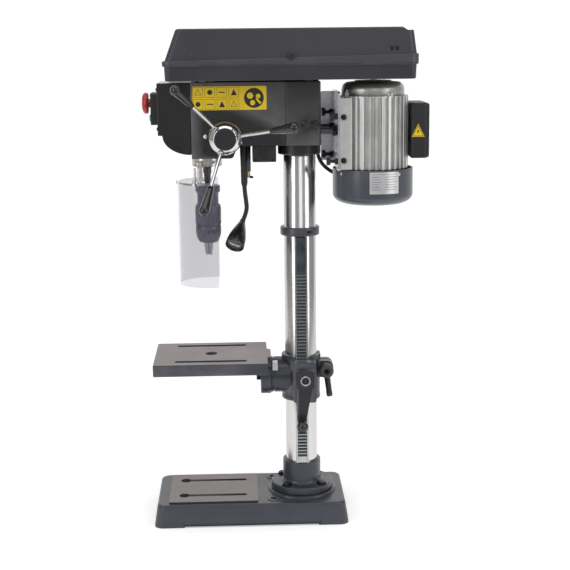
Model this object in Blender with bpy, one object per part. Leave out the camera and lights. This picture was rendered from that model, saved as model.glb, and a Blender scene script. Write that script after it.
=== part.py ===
"""A bench drill press built as an assembly of separate, named sub-parts.

Sizes are in millimetres in the press frame: the column's axis is X = Y = 0, the bench is Z = 0,
the chuck is on the -X side, the motor on the +X side and the feed handles on the -Y side.
finish() turns them into metres and moves them so that the whole press is centred on the origin.
"""
import math

import bmesh
import bpy
from mathutils import Matrix, Vector

MM = 0.001
GAP = 0.3
COLUMN_X = 25.5
COLUMN_Y = 40.863

# Column, base and flange
COLUMN_RADIUS = 30.0
COLUMN_WALL = 3.0
COLUMN_BOTTOM = 47.0
COLUMN_TOP = 800.0
COLUMN_BORE = COLUMN_RADIUS + 0.4
BASE_FRONT = -281.5
BASE_REAR = 84.5
BASE_HALF_WIDTH = 92.0
BASE_TOP = 42.5
BASE_FLARE = 6.5
BASE_CORNER = 16.0
BASE_WALL = 8.0
PAD_FRONT = -254.0
PAD_REAR = -86.0
PAD_HALF_WIDTH = 75.5
PAD_HEIGHT = 3.0
FOOT_LENGTH = 57.0
FOOT_HEIGHT = 3.0
SEAT_RADIUS = 64.0
SEAT_TOP = 46.5
FLANGE_RADIUS = 59.0
FLANGE_TOP = 60.0
SOCKET_RADIUS = 36.0
SOCKET_TOP = 104.0

# Spindle line, quill and chuck
SPINDLE_X = -170.0
SPINDLE_RADIUS = 8.0
QUILL_RADIUS = 22.0
QUILL_BOTTOM = 670.0
QUILL_TOP = 785.0
COLLAR_BOTTOM = 670.5
COLLAR_TOP = 687.5
COLLAR_RADIUS = 28.0
CHUCK_TOP = 635.0
CHUCK_BOTTOM = 529.0
CHUCK_NECK_BOTTOM = 602.0
SLEEVE_TOP = 600.0
SLEEVE_BOTTOM = 560.0
SLEEVE_RADIUS = 24.0
CHUCK_CORE_RADIUS = 18.7
JAW_TILT = math.radians(8.0)
JAW_RADIUS = 3.2
JAW_TIP_RADIUS = 3.9
JAW_BOTTOM = 505.0
JAW_TOP = 560.0

# Guard
GUARD_RADIUS = 56.0
GUARD_WALL = 3.0
GUARD_OPEN_X = -151.0
GUARD_BOTTOM = 451.0
GUARD_TOP = 644.0
GUARD_PIVOT_X = -184.0
GUARD_PIVOT_Z = 677.0

# Head, switch housing and belt cover
HEAD_FRONT = -196.0
HEAD_REAR = 37.0
HEAD_HALF_WIDTH = 52.0
HEAD_BOTTOM = 710.0
HEAD_TOP = 823.5
HEAD_WALL = 8.0
QUILL_BOSS_BOTTOM = 688.0
NOSE_RADIUS = 25.9
COVER_FRONT = -239.9
COVER_REAR = 204.5
COVER_HALF_WIDTH = 100.0
COVER_CORNER = 12.0
COVER_WALL = 3.5
SEAM_Z = 855.5
COVER_TOP = 918.0
TRAY_BOTTOM = 828.0
RIM_FRONT_HEIGHT = 7.0
RIM_REAR_HEIGHT = 16.5
RIM_WIDTH = 3.0
HINGE_Y = COVER_HALF_WIDTH + 5.0
HOUSING_FRONT = -256.0
HOUSING_HALF_WIDTH = 50.0
HOUSING_STEP_Z = 730.0
SWITCH_FRONT = -269.0
SWITCH_LOW = 748.0
SWITCH_HIGH = 805.0

# Pulleys and belts
PULLEY_BOTTOM = 834.0
STEP_HEIGHT = 12.0
GROOVE_DEPTH = 6.0
SPINDLE_STEPS = (50.0, 42.0, 34.0, 26.0)
IDLER_STEPS = (26.0, 34.0, 42.0, 50.0)
MOTOR_STEPS = (36.0, 28.0, 20.0)
IDLER_X = -30.0

# Feed
FEED_X = -135.0
FEED_Z = 726.0
FEED_SHAFT_RADIUS = 9.0
HUB_RADIUS = 28.5
HUB_FRONT_Y = -95.0
HUB_BACK_Y = -68.5
FEED_TILT = math.radians(41.2)
FEED_START_ANGLE = math.radians(12.0)
FEED_APEX_Y = -68.8
GRIP_START = 82.0
GRIP_END = 128.0

# Motor and its mount
MOTOR_X = 136.0
MOTOR_LOW = 664.5
MOTOR_HIGH = 796.0
FIN_RADIUS = 65.0
FIN_ROOT = 59.5
FIN_COUNT = 26
COWL_RADIUS = 74.2
COWL_BOTTOM = 598.0
BELL_TOP = 823.0
FOOT_REAR = 92.0
FOOT_TOP = 794.0
PLATE_X = 66.0
PLATE_THICKNESS = 4.0
BAR_RADIUS = 6.0
BAR_Y = 44.5
BAR_Z = 735.0

# Rack, table bracket and table
RACK_HALF_WIDTH = 12.0
RACK_BACK_Y = -30.6
RACK_ROOT_Y = -36.4
RACK_TIP_Y = -40.2
RACK_BOTTOM = 105.0
RACK_TOP = 539.5
RACK_PITCH = 2.0 * math.pi
RACK_TEETH = 56
RING_BOTTOM = 540.5
RING_TOP = 556.5
RING_RADIUS = 36.5
BRACKET_BOTTOM = 226.0
BRACKET_TOP = 312.0
BRACKET_RADIUS = 36.7
TILT_Z = 271.0
TILT_FACE_X = -57.0
TILT_RADIUS = 34.0
TABLE_FRONT = -276.0
TABLE_REAR = -64.0
TABLE_HALF_WIDTH = 85.0
TABLE_TOP = 313.7
TABLE_THICKNESS = 22.0
CRANK_X = 4.0
CRANK_Z = 282.0
CRANK_ARM_BACK = -88.0
CRANK_ARM_FRONT = -95.0
LOCK_X = 47.0
LOCK_Z = 283.0

# Lamp and the small parts under the head
LAMP_X = -102.0
LAMP_Y = -20.0
STEM_X = -95.5
STEM_Y = -5.0


def clear_scene():
    for item in list(bpy.data.objects):
        bpy.data.objects.remove(item, do_unlink=True)


def make_material(name, colour, roughness, metallic=0.0, alpha=1.0):
    material = bpy.data.materials.new(name)
    material.use_nodes = True
    shader = material.node_tree.nodes["Principled BSDF"]
    shader.inputs["Base Color"].default_value = (*colour, 1.0)
    shader.inputs["Roughness"].default_value = roughness
    shader.inputs["Metallic"].default_value = metallic
    shader.inputs["Alpha"].default_value = alpha
    return material


def finish(name, bm, colour, roughness, metallic=0.0, origin=(0.0, 0.0, 0.0), alpha=1.0):
    """Turn a bmesh in press millimetres into a named object with its origin at the given point."""
    bmesh.ops.recalc_face_normals(bm, faces=bm.faces)
    bmesh.ops.translate(bm, verts=bm.verts, vec=-Vector(origin))
    bmesh.ops.scale(bm, verts=bm.verts, vec=(MM, MM, MM))
    mesh = bpy.data.meshes.new(name)
    bm.to_mesh(mesh)
    bm.free()
    mesh.shade_smooth()
    mesh.set_sharp_from_angle(angle=math.radians(35.0))
    item = bpy.data.objects.new(name, mesh)
    item.location = (Vector(origin) + Vector((COLUMN_X, COLUMN_Y, 0.0))) * MM
    item.data.materials.append(make_material(name + "_finish", colour, roughness, metallic, alpha))
    bpy.context.collection.objects.link(item)
    return item


def combine(target, tools, operation):
    """Apply one Boolean for each tool body, given in press millimetres, and drop the tools."""
    helpers = []
    for number, tool in enumerate(tools):
        helper = finish("tool_%d" % number, tool, (0.5, 0.5, 0.5), 0.5)
        helper.hide_render = True
        helper.display_type = "WIRE"
        modifier = target.modifiers.new("shape_%d" % number, "BOOLEAN")
        modifier.operation = operation
        modifier.solver = "EXACT"
        modifier.object = helper
        helpers.append(helper)
    graph = bpy.context.evaluated_depsgraph_get()
    mesh = bpy.data.meshes.new_from_object(target.evaluated_get(graph))
    target.modifiers.clear()
    target.data = mesh
    mesh.shade_smooth()
    mesh.set_sharp_from_angle(angle=math.radians(35.0))
    material = mesh.materials[0]
    mesh.materials.clear()
    mesh.materials.append(material)
    for polygon in mesh.polygons:
        polygon.material_index = 0
    for helper in helpers:
        bpy.data.objects.remove(helper, do_unlink=True)


def loft(outlines):
    """Join outlines of 3-D points, listed in order, into one closed body with flat ends."""
    bm = bmesh.new()
    rings = []
    for outline in outlines:
        rings.append([bm.verts.new(point) for point in outline])
    count = len(rings[0])
    for lower, upper in zip(rings, rings[1:]):
        for k in range(count):
            following = (k + 1) % count
            bm.faces.new((lower[k], lower[following], upper[following], upper[k]))
    bm.faces.new(list(reversed(rings[0])))
    bm.faces.new(rings[-1])
    return bm


def prism(outline, low, high, across="Z"):
    """Extrude an outline: (x, y) across Z, (x, z) across Y or (y, z) across X."""
    rings = []
    for level in (low, high):
        if across == "Z":
            rings.append([(a, b, level) for a, b in outline])
        elif across == "Y":
            rings.append([(a, level, b) for a, b in outline])
        else:
            rings.append([(level, a, b) for a, b in outline])
    return loft(rings)


def box(low, high):
    x0, y0, z0 = low
    x1, y1, z1 = high
    return prism(((x0, y0), (x1, y0), (x1, y1), (x0, y1)), z0, z1)


def aligned(start, direction):
    """A matrix that puts the local Z axis along a direction from a start point."""
    turn = Vector(direction).to_track_quat("Z", "Y")
    return Matrix.Translation(Vector(start)) @ turn.to_matrix().to_4x4()


def turned(profile, steps, start=(0.0, 0.0, 0.0), direction=(0.0, 0.0, 1.0)):
    """Turn (radius, height) points about an axis; radius 0 at an end closes that end flat or to a point."""
    bm = bmesh.new()
    matrix = aligned(start, direction)
    if tuple(direction) == (0.0, 0.0, 1.0):
        matrix = Matrix.Translation(Vector(start))
    points = list(profile)
    flat_low = points[0][0] < 1e-6 and abs(points[0][1] - points[1][1]) < 1e-6
    flat_high = points[-1][0] < 1e-6 and abs(points[-1][1] - points[-2][1]) < 1e-6
    if flat_low:
        points = points[1:]
    if flat_high:
        points = points[:-1]
    rings = []
    for radius, height in points:
        if radius < 1e-6:
            rings.append([bm.verts.new(matrix @ Vector((0.0, 0.0, height)))])
            continue
        ring = []
        for k in range(steps):
            angle = 2.0 * math.pi * k / steps
            point = Vector((radius * math.cos(angle), radius * math.sin(angle), height))
            ring.append(bm.verts.new(matrix @ point))
        rings.append(ring)
    pairs = list(zip(rings, rings[1:]))
    if flat_low:
        bm.faces.new(list(reversed(rings[0])))
    if flat_high:
        bm.faces.new(rings[-1])
    if not flat_low and not flat_high and len(rings[0]) > 1 and len(rings[-1]) > 1:
        pairs.append((rings[-1], rings[0]))
    for first, second in pairs:
        bridge(bm, first, second, steps)
    return bm


def bridge(bm, first, second, steps):
    """Fill between two turned rings, either of which may be a single point."""
    for k in range(steps):
        following = (k + 1) % steps
        corners = [first[k % len(first)], first[following % len(first)]]
        corners += [second[following % len(second)], second[k % len(second)]]
        unique = []
        for corner in corners:
            if corner not in unique:
                unique.append(corner)
        if len(unique) > 2:
            bm.faces.new(unique)


def rod(start, end, radius, steps=16, end_radius=None):
    """A round rod between two points, with a chamfer of a twelfth of its radius at each end."""
    line = Vector(end) - Vector(start)
    last = radius if end_radius is None else end_radius
    chamfer = radius / 6.0
    profile = (
        (0.0, 0.0),
        (radius - chamfer, 0.0),
        (radius, chamfer),
        (last, line.length - chamfer),
        (last - chamfer, line.length),
        (0.0, line.length),
    )
    return turned(profile, steps, start, line.normalized())


def pin(start, end, radius, steps=16):
    """A plain round cutter between two points."""
    line = Vector(end) - Vector(start)
    profile = ((0.0, 0.0), (radius, 0.0), (radius, line.length), (0.0, line.length))
    return turned(profile, steps, start, line.normalized())


def rounded(x0, x1, y0, y1, radius, steps=4):
    """A rectangle with round corners, anticlockwise."""
    points = []
    corners = (
        (x1 - radius, y0 + radius, -90.0),
        (x1 - radius, y1 - radius, 0.0),
        (x0 + radius, y1 - radius, 90.0),
        (x0 + radius, y0 + radius, 180.0),
    )
    for centre_x, centre_y, start in corners:
        for k in range(steps + 1):
            angle = math.radians(start + 90.0 * k / steps)
            points.append((centre_x + radius * math.cos(angle), centre_y + radius * math.sin(angle)))
    return points


def at_height(outline, z):
    return [(x, y, z) for x, y in outline]


# ---------------------------------------------------------------- base and column

def base_outline(inset):
    return rounded(
        BASE_FRONT + inset,
        BASE_REAR - inset,
        -BASE_HALF_WIDTH + inset,
        BASE_HALF_WIDTH - inset,
        BASE_CORNER,
    )


def build_base():
    shape = loft(
        (
            at_height(base_outline(0.0), 0.0),
            at_height(base_outline(0.5), 6.0),
            at_height(base_outline(BASE_FLARE - 1.0), BASE_TOP - 4.0),
            at_height(base_outline(BASE_FLARE + 2.0), BASE_TOP),
        )
    )
    item = finish("base", shape, (0.03, 0.032, 0.042), 0.5)
    pad = prism(
        rounded(PAD_FRONT, PAD_REAR, -PAD_HALF_WIDTH, PAD_HALF_WIDTH, 3.0, 1),
        BASE_TOP - 5.0,
        BASE_TOP + PAD_HEIGHT,
    )
    seat = turned(((0.0, 30.0), (SEAT_RADIUS, 30.0), (SEAT_RADIUS, SEAT_TOP), (0.0, SEAT_TOP)), 32)
    bosses = []
    holes = []
    for side in (-1.0, 1.0):
        centre = (-56.0, side * 61.0)
        bosses.append(pin((*centre, 38.0), (*centre, BASE_TOP + 1.5), 12.0))
        holes.append(pin((*centre, 20.0), (*centre, BASE_TOP + 5.0), 5.5))
    combine(item, [pad, seat] + bosses, "UNION")
    hollow = loft(
        (
            at_height(base_outline(BASE_WALL), -1.0),
            at_height(base_outline(BASE_FLARE + BASE_WALL), BASE_TOP - BASE_WALL),
        )
    )
    gap_x = (BASE_FRONT + FOOT_LENGTH, BASE_REAR - FOOT_LENGTH)
    gap_y = BASE_HALF_WIDTH - FOOT_LENGTH + 12.0
    wide = BASE_HALF_WIDTH + 5.0
    long_gap = box((gap_x[0], -wide, -2.0), (gap_x[1], wide, FOOT_HEIGHT))
    short_gap = box((BASE_FRONT - 5.0, -gap_y, -2.0), (BASE_REAR + 5.0, gap_y, FOOT_HEIGHT))
    slots = []
    for side in (-1.0, 1.0):
        y = side * 41.0
        slots.append(prism(rounded(-228.0, -107.0, y - 5.0, y + 5.0, 4.9, 3), 20.0, 60.0))
        slots.append(pin((-226.0, y, 20.0), (-226.0, y, 60.0), 10.0))
    combine(item, [hollow, long_gap, short_gap] + slots + holes, "DIFFERENCE")


def build_column_flange():
    low = SEAT_TOP + GAP
    profile = (
        (COLUMN_BORE, low),
        (FLANGE_RADIUS, low),
        (FLANGE_RADIUS, FLANGE_TOP - 1.5),
        (FLANGE_RADIUS - 1.5, FLANGE_TOP),
        (SOCKET_RADIUS + 5.0, FLANGE_TOP),
        (SOCKET_RADIUS, FLANGE_TOP + 5.0),
        (SOCKET_RADIUS, SOCKET_TOP - 1.5),
        (SOCKET_RADIUS - 1.5, SOCKET_TOP),
        (COLUMN_BORE, SOCKET_TOP),
    )
    finish("column_flange", turned(profile, 32), (0.03, 0.032, 0.042), 0.5)


def build_column():
    inner = COLUMN_RADIUS - COLUMN_WALL
    profile = (
        (inner, COLUMN_BOTTOM),
        (COLUMN_RADIUS, COLUMN_BOTTOM),
        (COLUMN_RADIUS, COLUMN_TOP),
        (inner, COLUMN_TOP),
    )
    finish("column", turned(profile, 32), (0.72, 0.72, 0.73), 0.2, 1.0)


def build_rack_ring():
    profile = (
        (COLUMN_BORE, RING_BOTTOM),
        (RING_RADIUS - 1.0, RING_BOTTOM),
        (RING_RADIUS, RING_BOTTOM + 1.0),
        (RING_RADIUS, RING_TOP - 1.5),
        (RING_RADIUS - 1.5, RING_TOP),
        (COLUMN_BORE, RING_TOP),
    )
    finish("rack_ring", turned(profile, 32), (0.03, 0.032, 0.04), 0.45)


# ---------------------------------------------------------------- head and switch

def build_head():
    side = (
        (HEAD_FRONT, QUILL_BOSS_BOTTOM),
        (-122.0, QUILL_BOSS_BOTTOM),
        (-112.0, HEAD_BOTTOM),
        (HEAD_REAR, HEAD_BOTTOM),
        (HEAD_REAR, HEAD_TOP),
        (HEAD_FRONT, HEAD_TOP),
    )
    item = finish("head", prism(side, -HEAD_HALF_WIDTH, HEAD_HALF_WIDTH, "Y"), (0.03, 0.03, 0.034), 0.45)
    rear_block = prism(
        rounded(-27.0, HEAD_REAR, -HEAD_HALF_WIDTH - 2.0, HEAD_HALF_WIDTH + 2.0, 4.0, 2),
        HEAD_BOTTOM,
        HEAD_TOP,
    )
    collar = turned(((0.0, 691.0), (39.5, 691.0), (39.5, 714.0), (0.0, 714.0)), 32)
    combine(item, [rear_block, collar], "UNION")
    cavity = box(
        (HEAD_FRONT + HEAD_WALL, -HEAD_HALF_WIDTH + HEAD_WALL, HEAD_BOTTOM + HEAD_WALL),
        (-45.0, HEAD_HALF_WIDTH - HEAD_WALL, HEAD_TOP + 5.0),
    )
    combine(item, [cavity], "DIFFERENCE")
    quill_tube = pin((SPINDLE_X, 0.0, 697.0), (SPINDLE_X, 0.0, 790.0), NOSE_RADIUS, 24)
    combine(item, [quill_tube], "UNION")
    bores = [
        pin((SPINDLE_X, 0.0, 680.0), (SPINDLE_X, 0.0, 840.0), QUILL_RADIUS + 0.4, 24),
        pin((0.0, 0.0, 680.0), (0.0, 0.0, COLUMN_TOP + GAP), COLUMN_BORE, 32),
        pin((FEED_X, -70.0, FEED_Z), (FEED_X, 70.0, FEED_Z), FEED_SHAFT_RADIUS + 0.4, 20),
    ]
    for y in (-BAR_Y, BAR_Y):
        bores.append(pin((-26.0, y, BAR_Z), (HEAD_REAR + 9.0, y, BAR_Z), BAR_RADIUS + 0.4, 12))
    for bore in bores:
        combine(item, [bore], "DIFFERENCE")


def build_switch_housing():
    rear = HEAD_FRONT - GAP
    curve = []
    for k in range(7):
        angle = math.radians(90.0 * k / 6.0)
        x = rear - 51.7 * math.sin(angle)
        z = HOUSING_STEP_Z - 35.0 * math.cos(angle)
        curve.append((x, z))
    outer = curve + [(HOUSING_FRONT, HOUSING_STEP_Z), (HOUSING_FRONT, HEAD_TOP), (rear, HEAD_TOP)]
    item = finish(
        "switch_housing",
        prism(outer, -HOUSING_HALF_WIDTH, HOUSING_HALF_WIDTH, "Y"),
        (0.02, 0.02, 0.022),
        0.4,
    )
    hollow = box(
        (HOUSING_FRONT + 3.0, -HOUSING_HALF_WIDTH + 3.0, 736.0),
        (rear + 5.0, HOUSING_HALF_WIDTH - 3.0, 820.0),
    )
    combine(item, [hollow], "DIFFERENCE")


def build_switch_box():
    outline = rounded(-31.0, 31.0, SWITCH_LOW, SWITCH_HIGH, 4.0, 2)
    item = finish(
        "switch_box",
        prism(outline, SWITCH_FRONT, HOUSING_FRONT - GAP, "X"),
        (0.02, 0.02, 0.02),
        0.45,
    )
    holes = [
        pin((SWITCH_FRONT - 2.0, 0.0, 786.0), (-260.0, 0.0, 786.0), 8.5, 20),
        pin((SWITCH_FRONT - 2.0, 0.0, 759.0), (-260.0, 0.0, 759.0), 7.2, 20),
    ]
    combine(item, holes, "DIFFERENCE")


def build_buttons():
    stop = (
        (0.0, 0.0),
        (13.0, 0.0),
        (18.5, 4.0),
        (19.5, 8.0),
        (17.0, 12.0),
        (8.0, 12.0),
        (8.0, 21.0),
        (0.0, 21.0),
    )
    finish(
        "stop_button",
        turned(stop, 18, (-286.0, 0.0, 786.0), (1.0, 0.0, 0.0)),
        (0.55, 0.02, 0.02),
        0.35,
        origin=(-286.0, 0.0, 786.0),
    )
    start = ((0.0, 0.0), (5.8, 0.0), (6.8, 1.0), (6.8, 9.0), (0.0, 9.0))
    finish(
        "start_button",
        turned(start, 20, (-273.0, 0.0, 759.0), (1.0, 0.0, 0.0)),
        (0.02, 0.3, 0.08),
        0.35,
        origin=(-273.0, 0.0, 759.0),
    )


# ---------------------------------------------------------------- belt cover, pulleys, belts

def cover_outline(rise, inset=0.0):
    """The cover's plan outline: rise 0 is the seam and 1 is the top."""
    front = COVER_FRONT + 22.4 * rise + inset
    rear = COVER_REAR - 6.0 * rise - inset
    half = COVER_HALF_WIDTH - 7.0 * rise - inset
    return rounded(front, rear, -half, half, COVER_CORNER - inset, 5)


def rim_line(outline, lift=0.0):
    """An outline set on the lid's rim top, which is low in front and high at the rear."""
    slope = (RIM_REAR_HEIGHT - RIM_FRONT_HEIGHT) / (COVER_REAR - COVER_FRONT)
    points = []
    for x, y in outline:
        points.append((x, y, SEAM_Z + RIM_FRONT_HEIGHT + slope * (x - COVER_FRONT) + lift))
    return points


def build_lid():
    shape = loft(
        (
            at_height(cover_outline(0.0, -RIM_WIDTH), SEAM_Z + GAP),
            rim_line(cover_outline(0.0, -RIM_WIDTH)),
            rim_line(cover_outline(0.1), 1.0),
            at_height(cover_outline(0.93), COVER_TOP - 3.5),
            at_height(cover_outline(1.0, 3.5), COVER_TOP),
        )
    )
    origin = (0.0, HINGE_Y, SEAM_Z)
    item = finish("belt_cover_lid", shape, (0.035, 0.036, 0.04), 0.5, origin=origin)
    hollow = loft(
        (
            at_height(cover_outline(0.0, COVER_WALL), SEAM_Z - 5.0),
            at_height(cover_outline(0.0, COVER_WALL), SEAM_Z + 6.0),
            at_height(cover_outline(0.9, COVER_WALL + 0.5), COVER_TOP - COVER_WALL),
        )
    )
    combine(item, [hollow], "DIFFERENCE")


def build_tray():
    shape = loft(
        (
            at_height(cover_outline(0.0, 1.5), TRAY_BOTTOM),
            at_height(cover_outline(0.0, 0.5), SEAM_Z - 1.8),
            at_height(cover_outline(0.0, -RIM_WIDTH), SEAM_Z - 1.2),
            at_height(cover_outline(0.0, -RIM_WIDTH), SEAM_Z),
        )
    )
    item = finish("belt_tray", shape, (0.035, 0.036, 0.04), 0.5)
    bosses = []
    for x in (-160.0, 15.0):
        for y in (-40.0, 40.0):
            bosses.append(pin((x, y, HEAD_TOP + GAP), (x, y, TRAY_BOTTOM + 2.0), 8.0, 12))
    hollow = loft(
        (
            at_height(cover_outline(0.0, 1.5 + COVER_WALL), TRAY_BOTTOM + COVER_WALL),
            at_height(cover_outline(0.0, 0.5 + COVER_WALL), SEAM_Z + 5.0),
        )
    )
    combine(item, bosses, "UNION")
    motor_slot = rounded(MOTOR_X - 34.0, MOTOR_X + 12.0, -12.0, 12.0, 11.9, 4)
    cuts = [
        hollow,
        pin((SPINDLE_X, 0.0, 800.0), (SPINDLE_X, 0.0, 850.0), 16.0, 24),
        pin((IDLER_X, 0.0, 800.0), (IDLER_X, 0.0, 850.0), 9.0, 16),
        prism(motor_slot, 800.0, 850.0),
    ]
    combine(item, cuts, "DIFFERENCE")


def groove_profile(steps, bottom):
    """The outside of a stepped V pulley, bottom to top."""
    points = []
    for number, radius in enumerate(steps):
        z = bottom + number * STEP_HEIGHT
        points += [
            (radius, z),
            (radius - GROOVE_DEPTH, z + 3.6),
            (radius - GROOVE_DEPTH, z + 8.4),
            (radius, z + STEP_HEIGHT),
        ]
    return points


def build_pulleys():
    colour = (0.55, 0.55, 0.56)
    profile = [(SPINDLE_RADIUS + 0.4, 795.0), (12.0, 795.0), (12.0, PULLEY_BOTTOM)]
    profile += groove_profile(SPINDLE_STEPS, PULLEY_BOTTOM)
    profile += [(SPINDLE_RADIUS + 0.4, PULLEY_BOTTOM + 4.0 * STEP_HEIGHT)]
    origin = (SPINDLE_X, 0.0, 0.0)
    finish("spindle_pulley", turned(profile, 20, origin), colour, 0.4, 1.0, origin)

    bore = 8.4
    profile = [(bore, PULLEY_BOTTOM)] + groove_profile(IDLER_STEPS, PULLEY_BOTTOM)
    profile += [(bore, PULLEY_BOTTOM + 4.0 * STEP_HEIGHT)]
    origin = (IDLER_X, 0.0, 0.0)
    finish("idler_pulley", turned(profile, 20, origin), colour, 0.4, 1.0, origin)

    shaft = 7.0
    bottom = PULLEY_BOTTOM + STEP_HEIGHT
    profile = [(0.0, 797.0), (shaft, 797.0), (shaft, bottom)] + groove_profile(MOTOR_STEPS, bottom)
    profile += [(shaft, bottom + 3.0 * STEP_HEIGHT), (shaft, 890.0), (0.0, 890.0)]
    origin = (MOTOR_X, 0.0, 0.0)
    finish("motor_pulley", turned(profile, 20, origin), colour, 0.4, 1.0, origin)


def build_idler_post():
    low = HEAD_TOP + GAP
    profile = ((0.0, low), (17.0, low), (17.0, low + 3.5), (8.0, low + 3.5), (8.0, 890.0), (0.0, 890.0))
    finish("idler_post", turned(profile, 24, (IDLER_X, 0.0, 0.0)), (0.4, 0.4, 0.4), 0.35, 1.0)


def belt_path(x_first, radius_first, x_second, radius_second, steps=12):
    """Points and outward normals of a belt's line round two pulleys, anticlockwise."""
    distance = x_second - x_first
    lean = math.asin((radius_first - radius_second) / distance)
    path = []
    for k in range(steps + 1):
        angle = math.pi / 2.0 - lean + (math.pi + 2.0 * lean) * k / steps
        path.append((x_first, radius_first, angle))
    for k in range(steps + 1):
        angle = -math.pi / 2.0 + lean + (math.pi - 2.0 * lean) * k / steps
        path.append((x_second, radius_second, angle))
    return path


def build_belt(name, x_first, radius_first, x_second, radius_second, z):
    section = ((0.0, -4.1), (0.0, 4.1), (-5.4, 1.5), (-5.4, -1.5))
    bm = bmesh.new()
    rings = []
    for x, radius, angle in belt_path(x_first, radius_first, x_second, radius_second):
        ring = []
        for depth, height in section:
            reach = radius + depth
            across = reach * math.sin(angle)
            ring.append(bm.verts.new((x + reach * math.cos(angle), across, z + height)))
        rings.append(ring)
    for first, second in zip(rings, rings[1:] + rings[:1]):
        for k in range(4):
            following = (k + 1) % 4
            bm.faces.new((first[k], first[following], second[following], second[k]))
    finish(name, bm, (0.015, 0.015, 0.015), 0.8)


def build_belts():
    front_z = PULLEY_BOTTOM + STEP_HEIGHT + 6.0
    rear_z = PULLEY_BOTTOM + 2.0 * STEP_HEIGHT + 6.0
    build_belt("front_belt", SPINDLE_X, SPINDLE_STEPS[1], IDLER_X, IDLER_STEPS[1], front_z)
    build_belt("rear_belt", IDLER_X, IDLER_STEPS[2], MOTOR_X, MOTOR_STEPS[1], rear_z)


# ---------------------------------------------------------------- quill, spindle, chuck, guard

def build_quill():
    bore = SPINDLE_RADIUS + 0.4
    profile = (
        (bore, QUILL_BOTTOM),
        (QUILL_RADIUS, QUILL_BOTTOM),
        (QUILL_RADIUS, QUILL_TOP),
        (bore, QUILL_TOP),
    )
    origin = (SPINDLE_X, 0.0, 0.0)
    finish("quill", turned(profile, 24, origin), (0.6, 0.6, 0.6), 0.25, 1.0, origin)


def build_guard_collar():
    profile = (
        (QUILL_RADIUS + 0.4, COLLAR_BOTTOM),
        (COLLAR_RADIUS - 1.0, COLLAR_BOTTOM),
        (COLLAR_RADIUS, COLLAR_BOTTOM + 1.0),
        (COLLAR_RADIUS, COLLAR_TOP - 1.0),
        (COLLAR_RADIUS - 1.0, COLLAR_TOP),
        (QUILL_RADIUS + 0.4, COLLAR_TOP),
    )
    origin = (SPINDLE_X, 0.0, 0.0)
    finish("guard_collar", turned(profile, 24, origin), (0.62, 0.6, 0.57), 0.3, 1.0, origin)


def build_spindle():
    profile = (
        (0.0, CHUCK_TOP + GAP),
        (5.2, CHUCK_TOP + GAP),
        (6.6, 656.0),
        (7.8, 658.0),
        (7.8, QUILL_BOTTOM - 1.0),
        (SPINDLE_RADIUS, QUILL_BOTTOM),
        (SPINDLE_RADIUS, 903.0),
        (7.0, 904.0),
        (0.0, 904.0),
    )
    origin = (SPINDLE_X, 0.0, 0.0)
    finish("spindle", turned(profile, 16, origin), (0.3, 0.3, 0.31), 0.3, 1.0, origin)


def jaw_cone(z):
    """The radius of the jaws' slanting centre lines at a height."""
    return JAW_TIP_RADIUS + (z - JAW_BOTTOM) * math.tan(JAW_TILT)


def build_chuck():
    room = JAW_RADIUS + 0.6
    cavity_top = JAW_TOP + 14.0
    profile = (
        (0.0, CHUCK_TOP),
        (22.0, CHUCK_TOP),
        (23.0, CHUCK_TOP - 1.5),
        (23.0, 622.0),
        (20.0, 620.0),
        (19.5, CHUCK_NECK_BOTTOM),
        (CHUCK_CORE_RADIUS, CHUCK_NECK_BOTTOM - 1.0),
        (CHUCK_CORE_RADIUS, SLEEVE_BOTTOM - 0.5),
        (23.4, SLEEVE_BOTTOM - 0.6),
        (23.6, 548.0),
        (21.5, 538.0),
        (16.5, CHUCK_BOTTOM),
        (jaw_cone(CHUCK_BOTTOM) + room, CHUCK_BOTTOM),
        (jaw_cone(cavity_top) + room, cavity_top),
        (0.0, cavity_top),
    )
    origin = (SPINDLE_X, 0.0, 0.0)
    finish("chuck_body", turned(profile, 24, origin), (0.12, 0.12, 0.13), 0.35, 1.0, origin)
    bore = CHUCK_CORE_RADIUS + 0.3
    profile = (
        (bore, SLEEVE_BOTTOM),
        (SLEEVE_RADIUS - 1.5, SLEEVE_BOTTOM),
        (SLEEVE_RADIUS, SLEEVE_BOTTOM + 3.0),
        (SLEEVE_RADIUS, SLEEVE_TOP - 5.0),
        (SLEEVE_RADIUS - 2.5, SLEEVE_TOP),
        (bore, SLEEVE_TOP),
    )
    finish("chuck_sleeve", turned(profile, 24, origin), (0.13, 0.13, 0.14), 0.4, 1.0, origin)


def build_jaws():
    for k in range(3):
        angle = math.radians(90.0 + 120.0 * k)
        out = Vector((math.cos(angle), math.sin(angle), 0.0))
        low = Vector((SPINDLE_X, 0.0, JAW_BOTTOM)) + out * JAW_TIP_RADIUS
        high = Vector((SPINDLE_X, 0.0, JAW_TOP)) + out * jaw_cone(JAW_TOP)
        finish(
            "chuck_jaw_%d" % (k + 1),
            rod(low, high, JAW_RADIUS, 12),
            (0.35, 0.35, 0.36),
            0.3,
            1.0,
            tuple(low),
        )


def guard_plan(radius, open_x, steps=12):
    """Half a circle round the spindle line with straight sides back to the open edge."""
    points = [(open_x, -radius)]
    for k in range(steps + 1):
        angle = math.radians(-90.0 - 180.0 * k / steps)
        points.append((SPINDLE_X + radius * math.cos(angle), radius * math.sin(angle)))
    points.append((open_x, radius))
    return points


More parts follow.
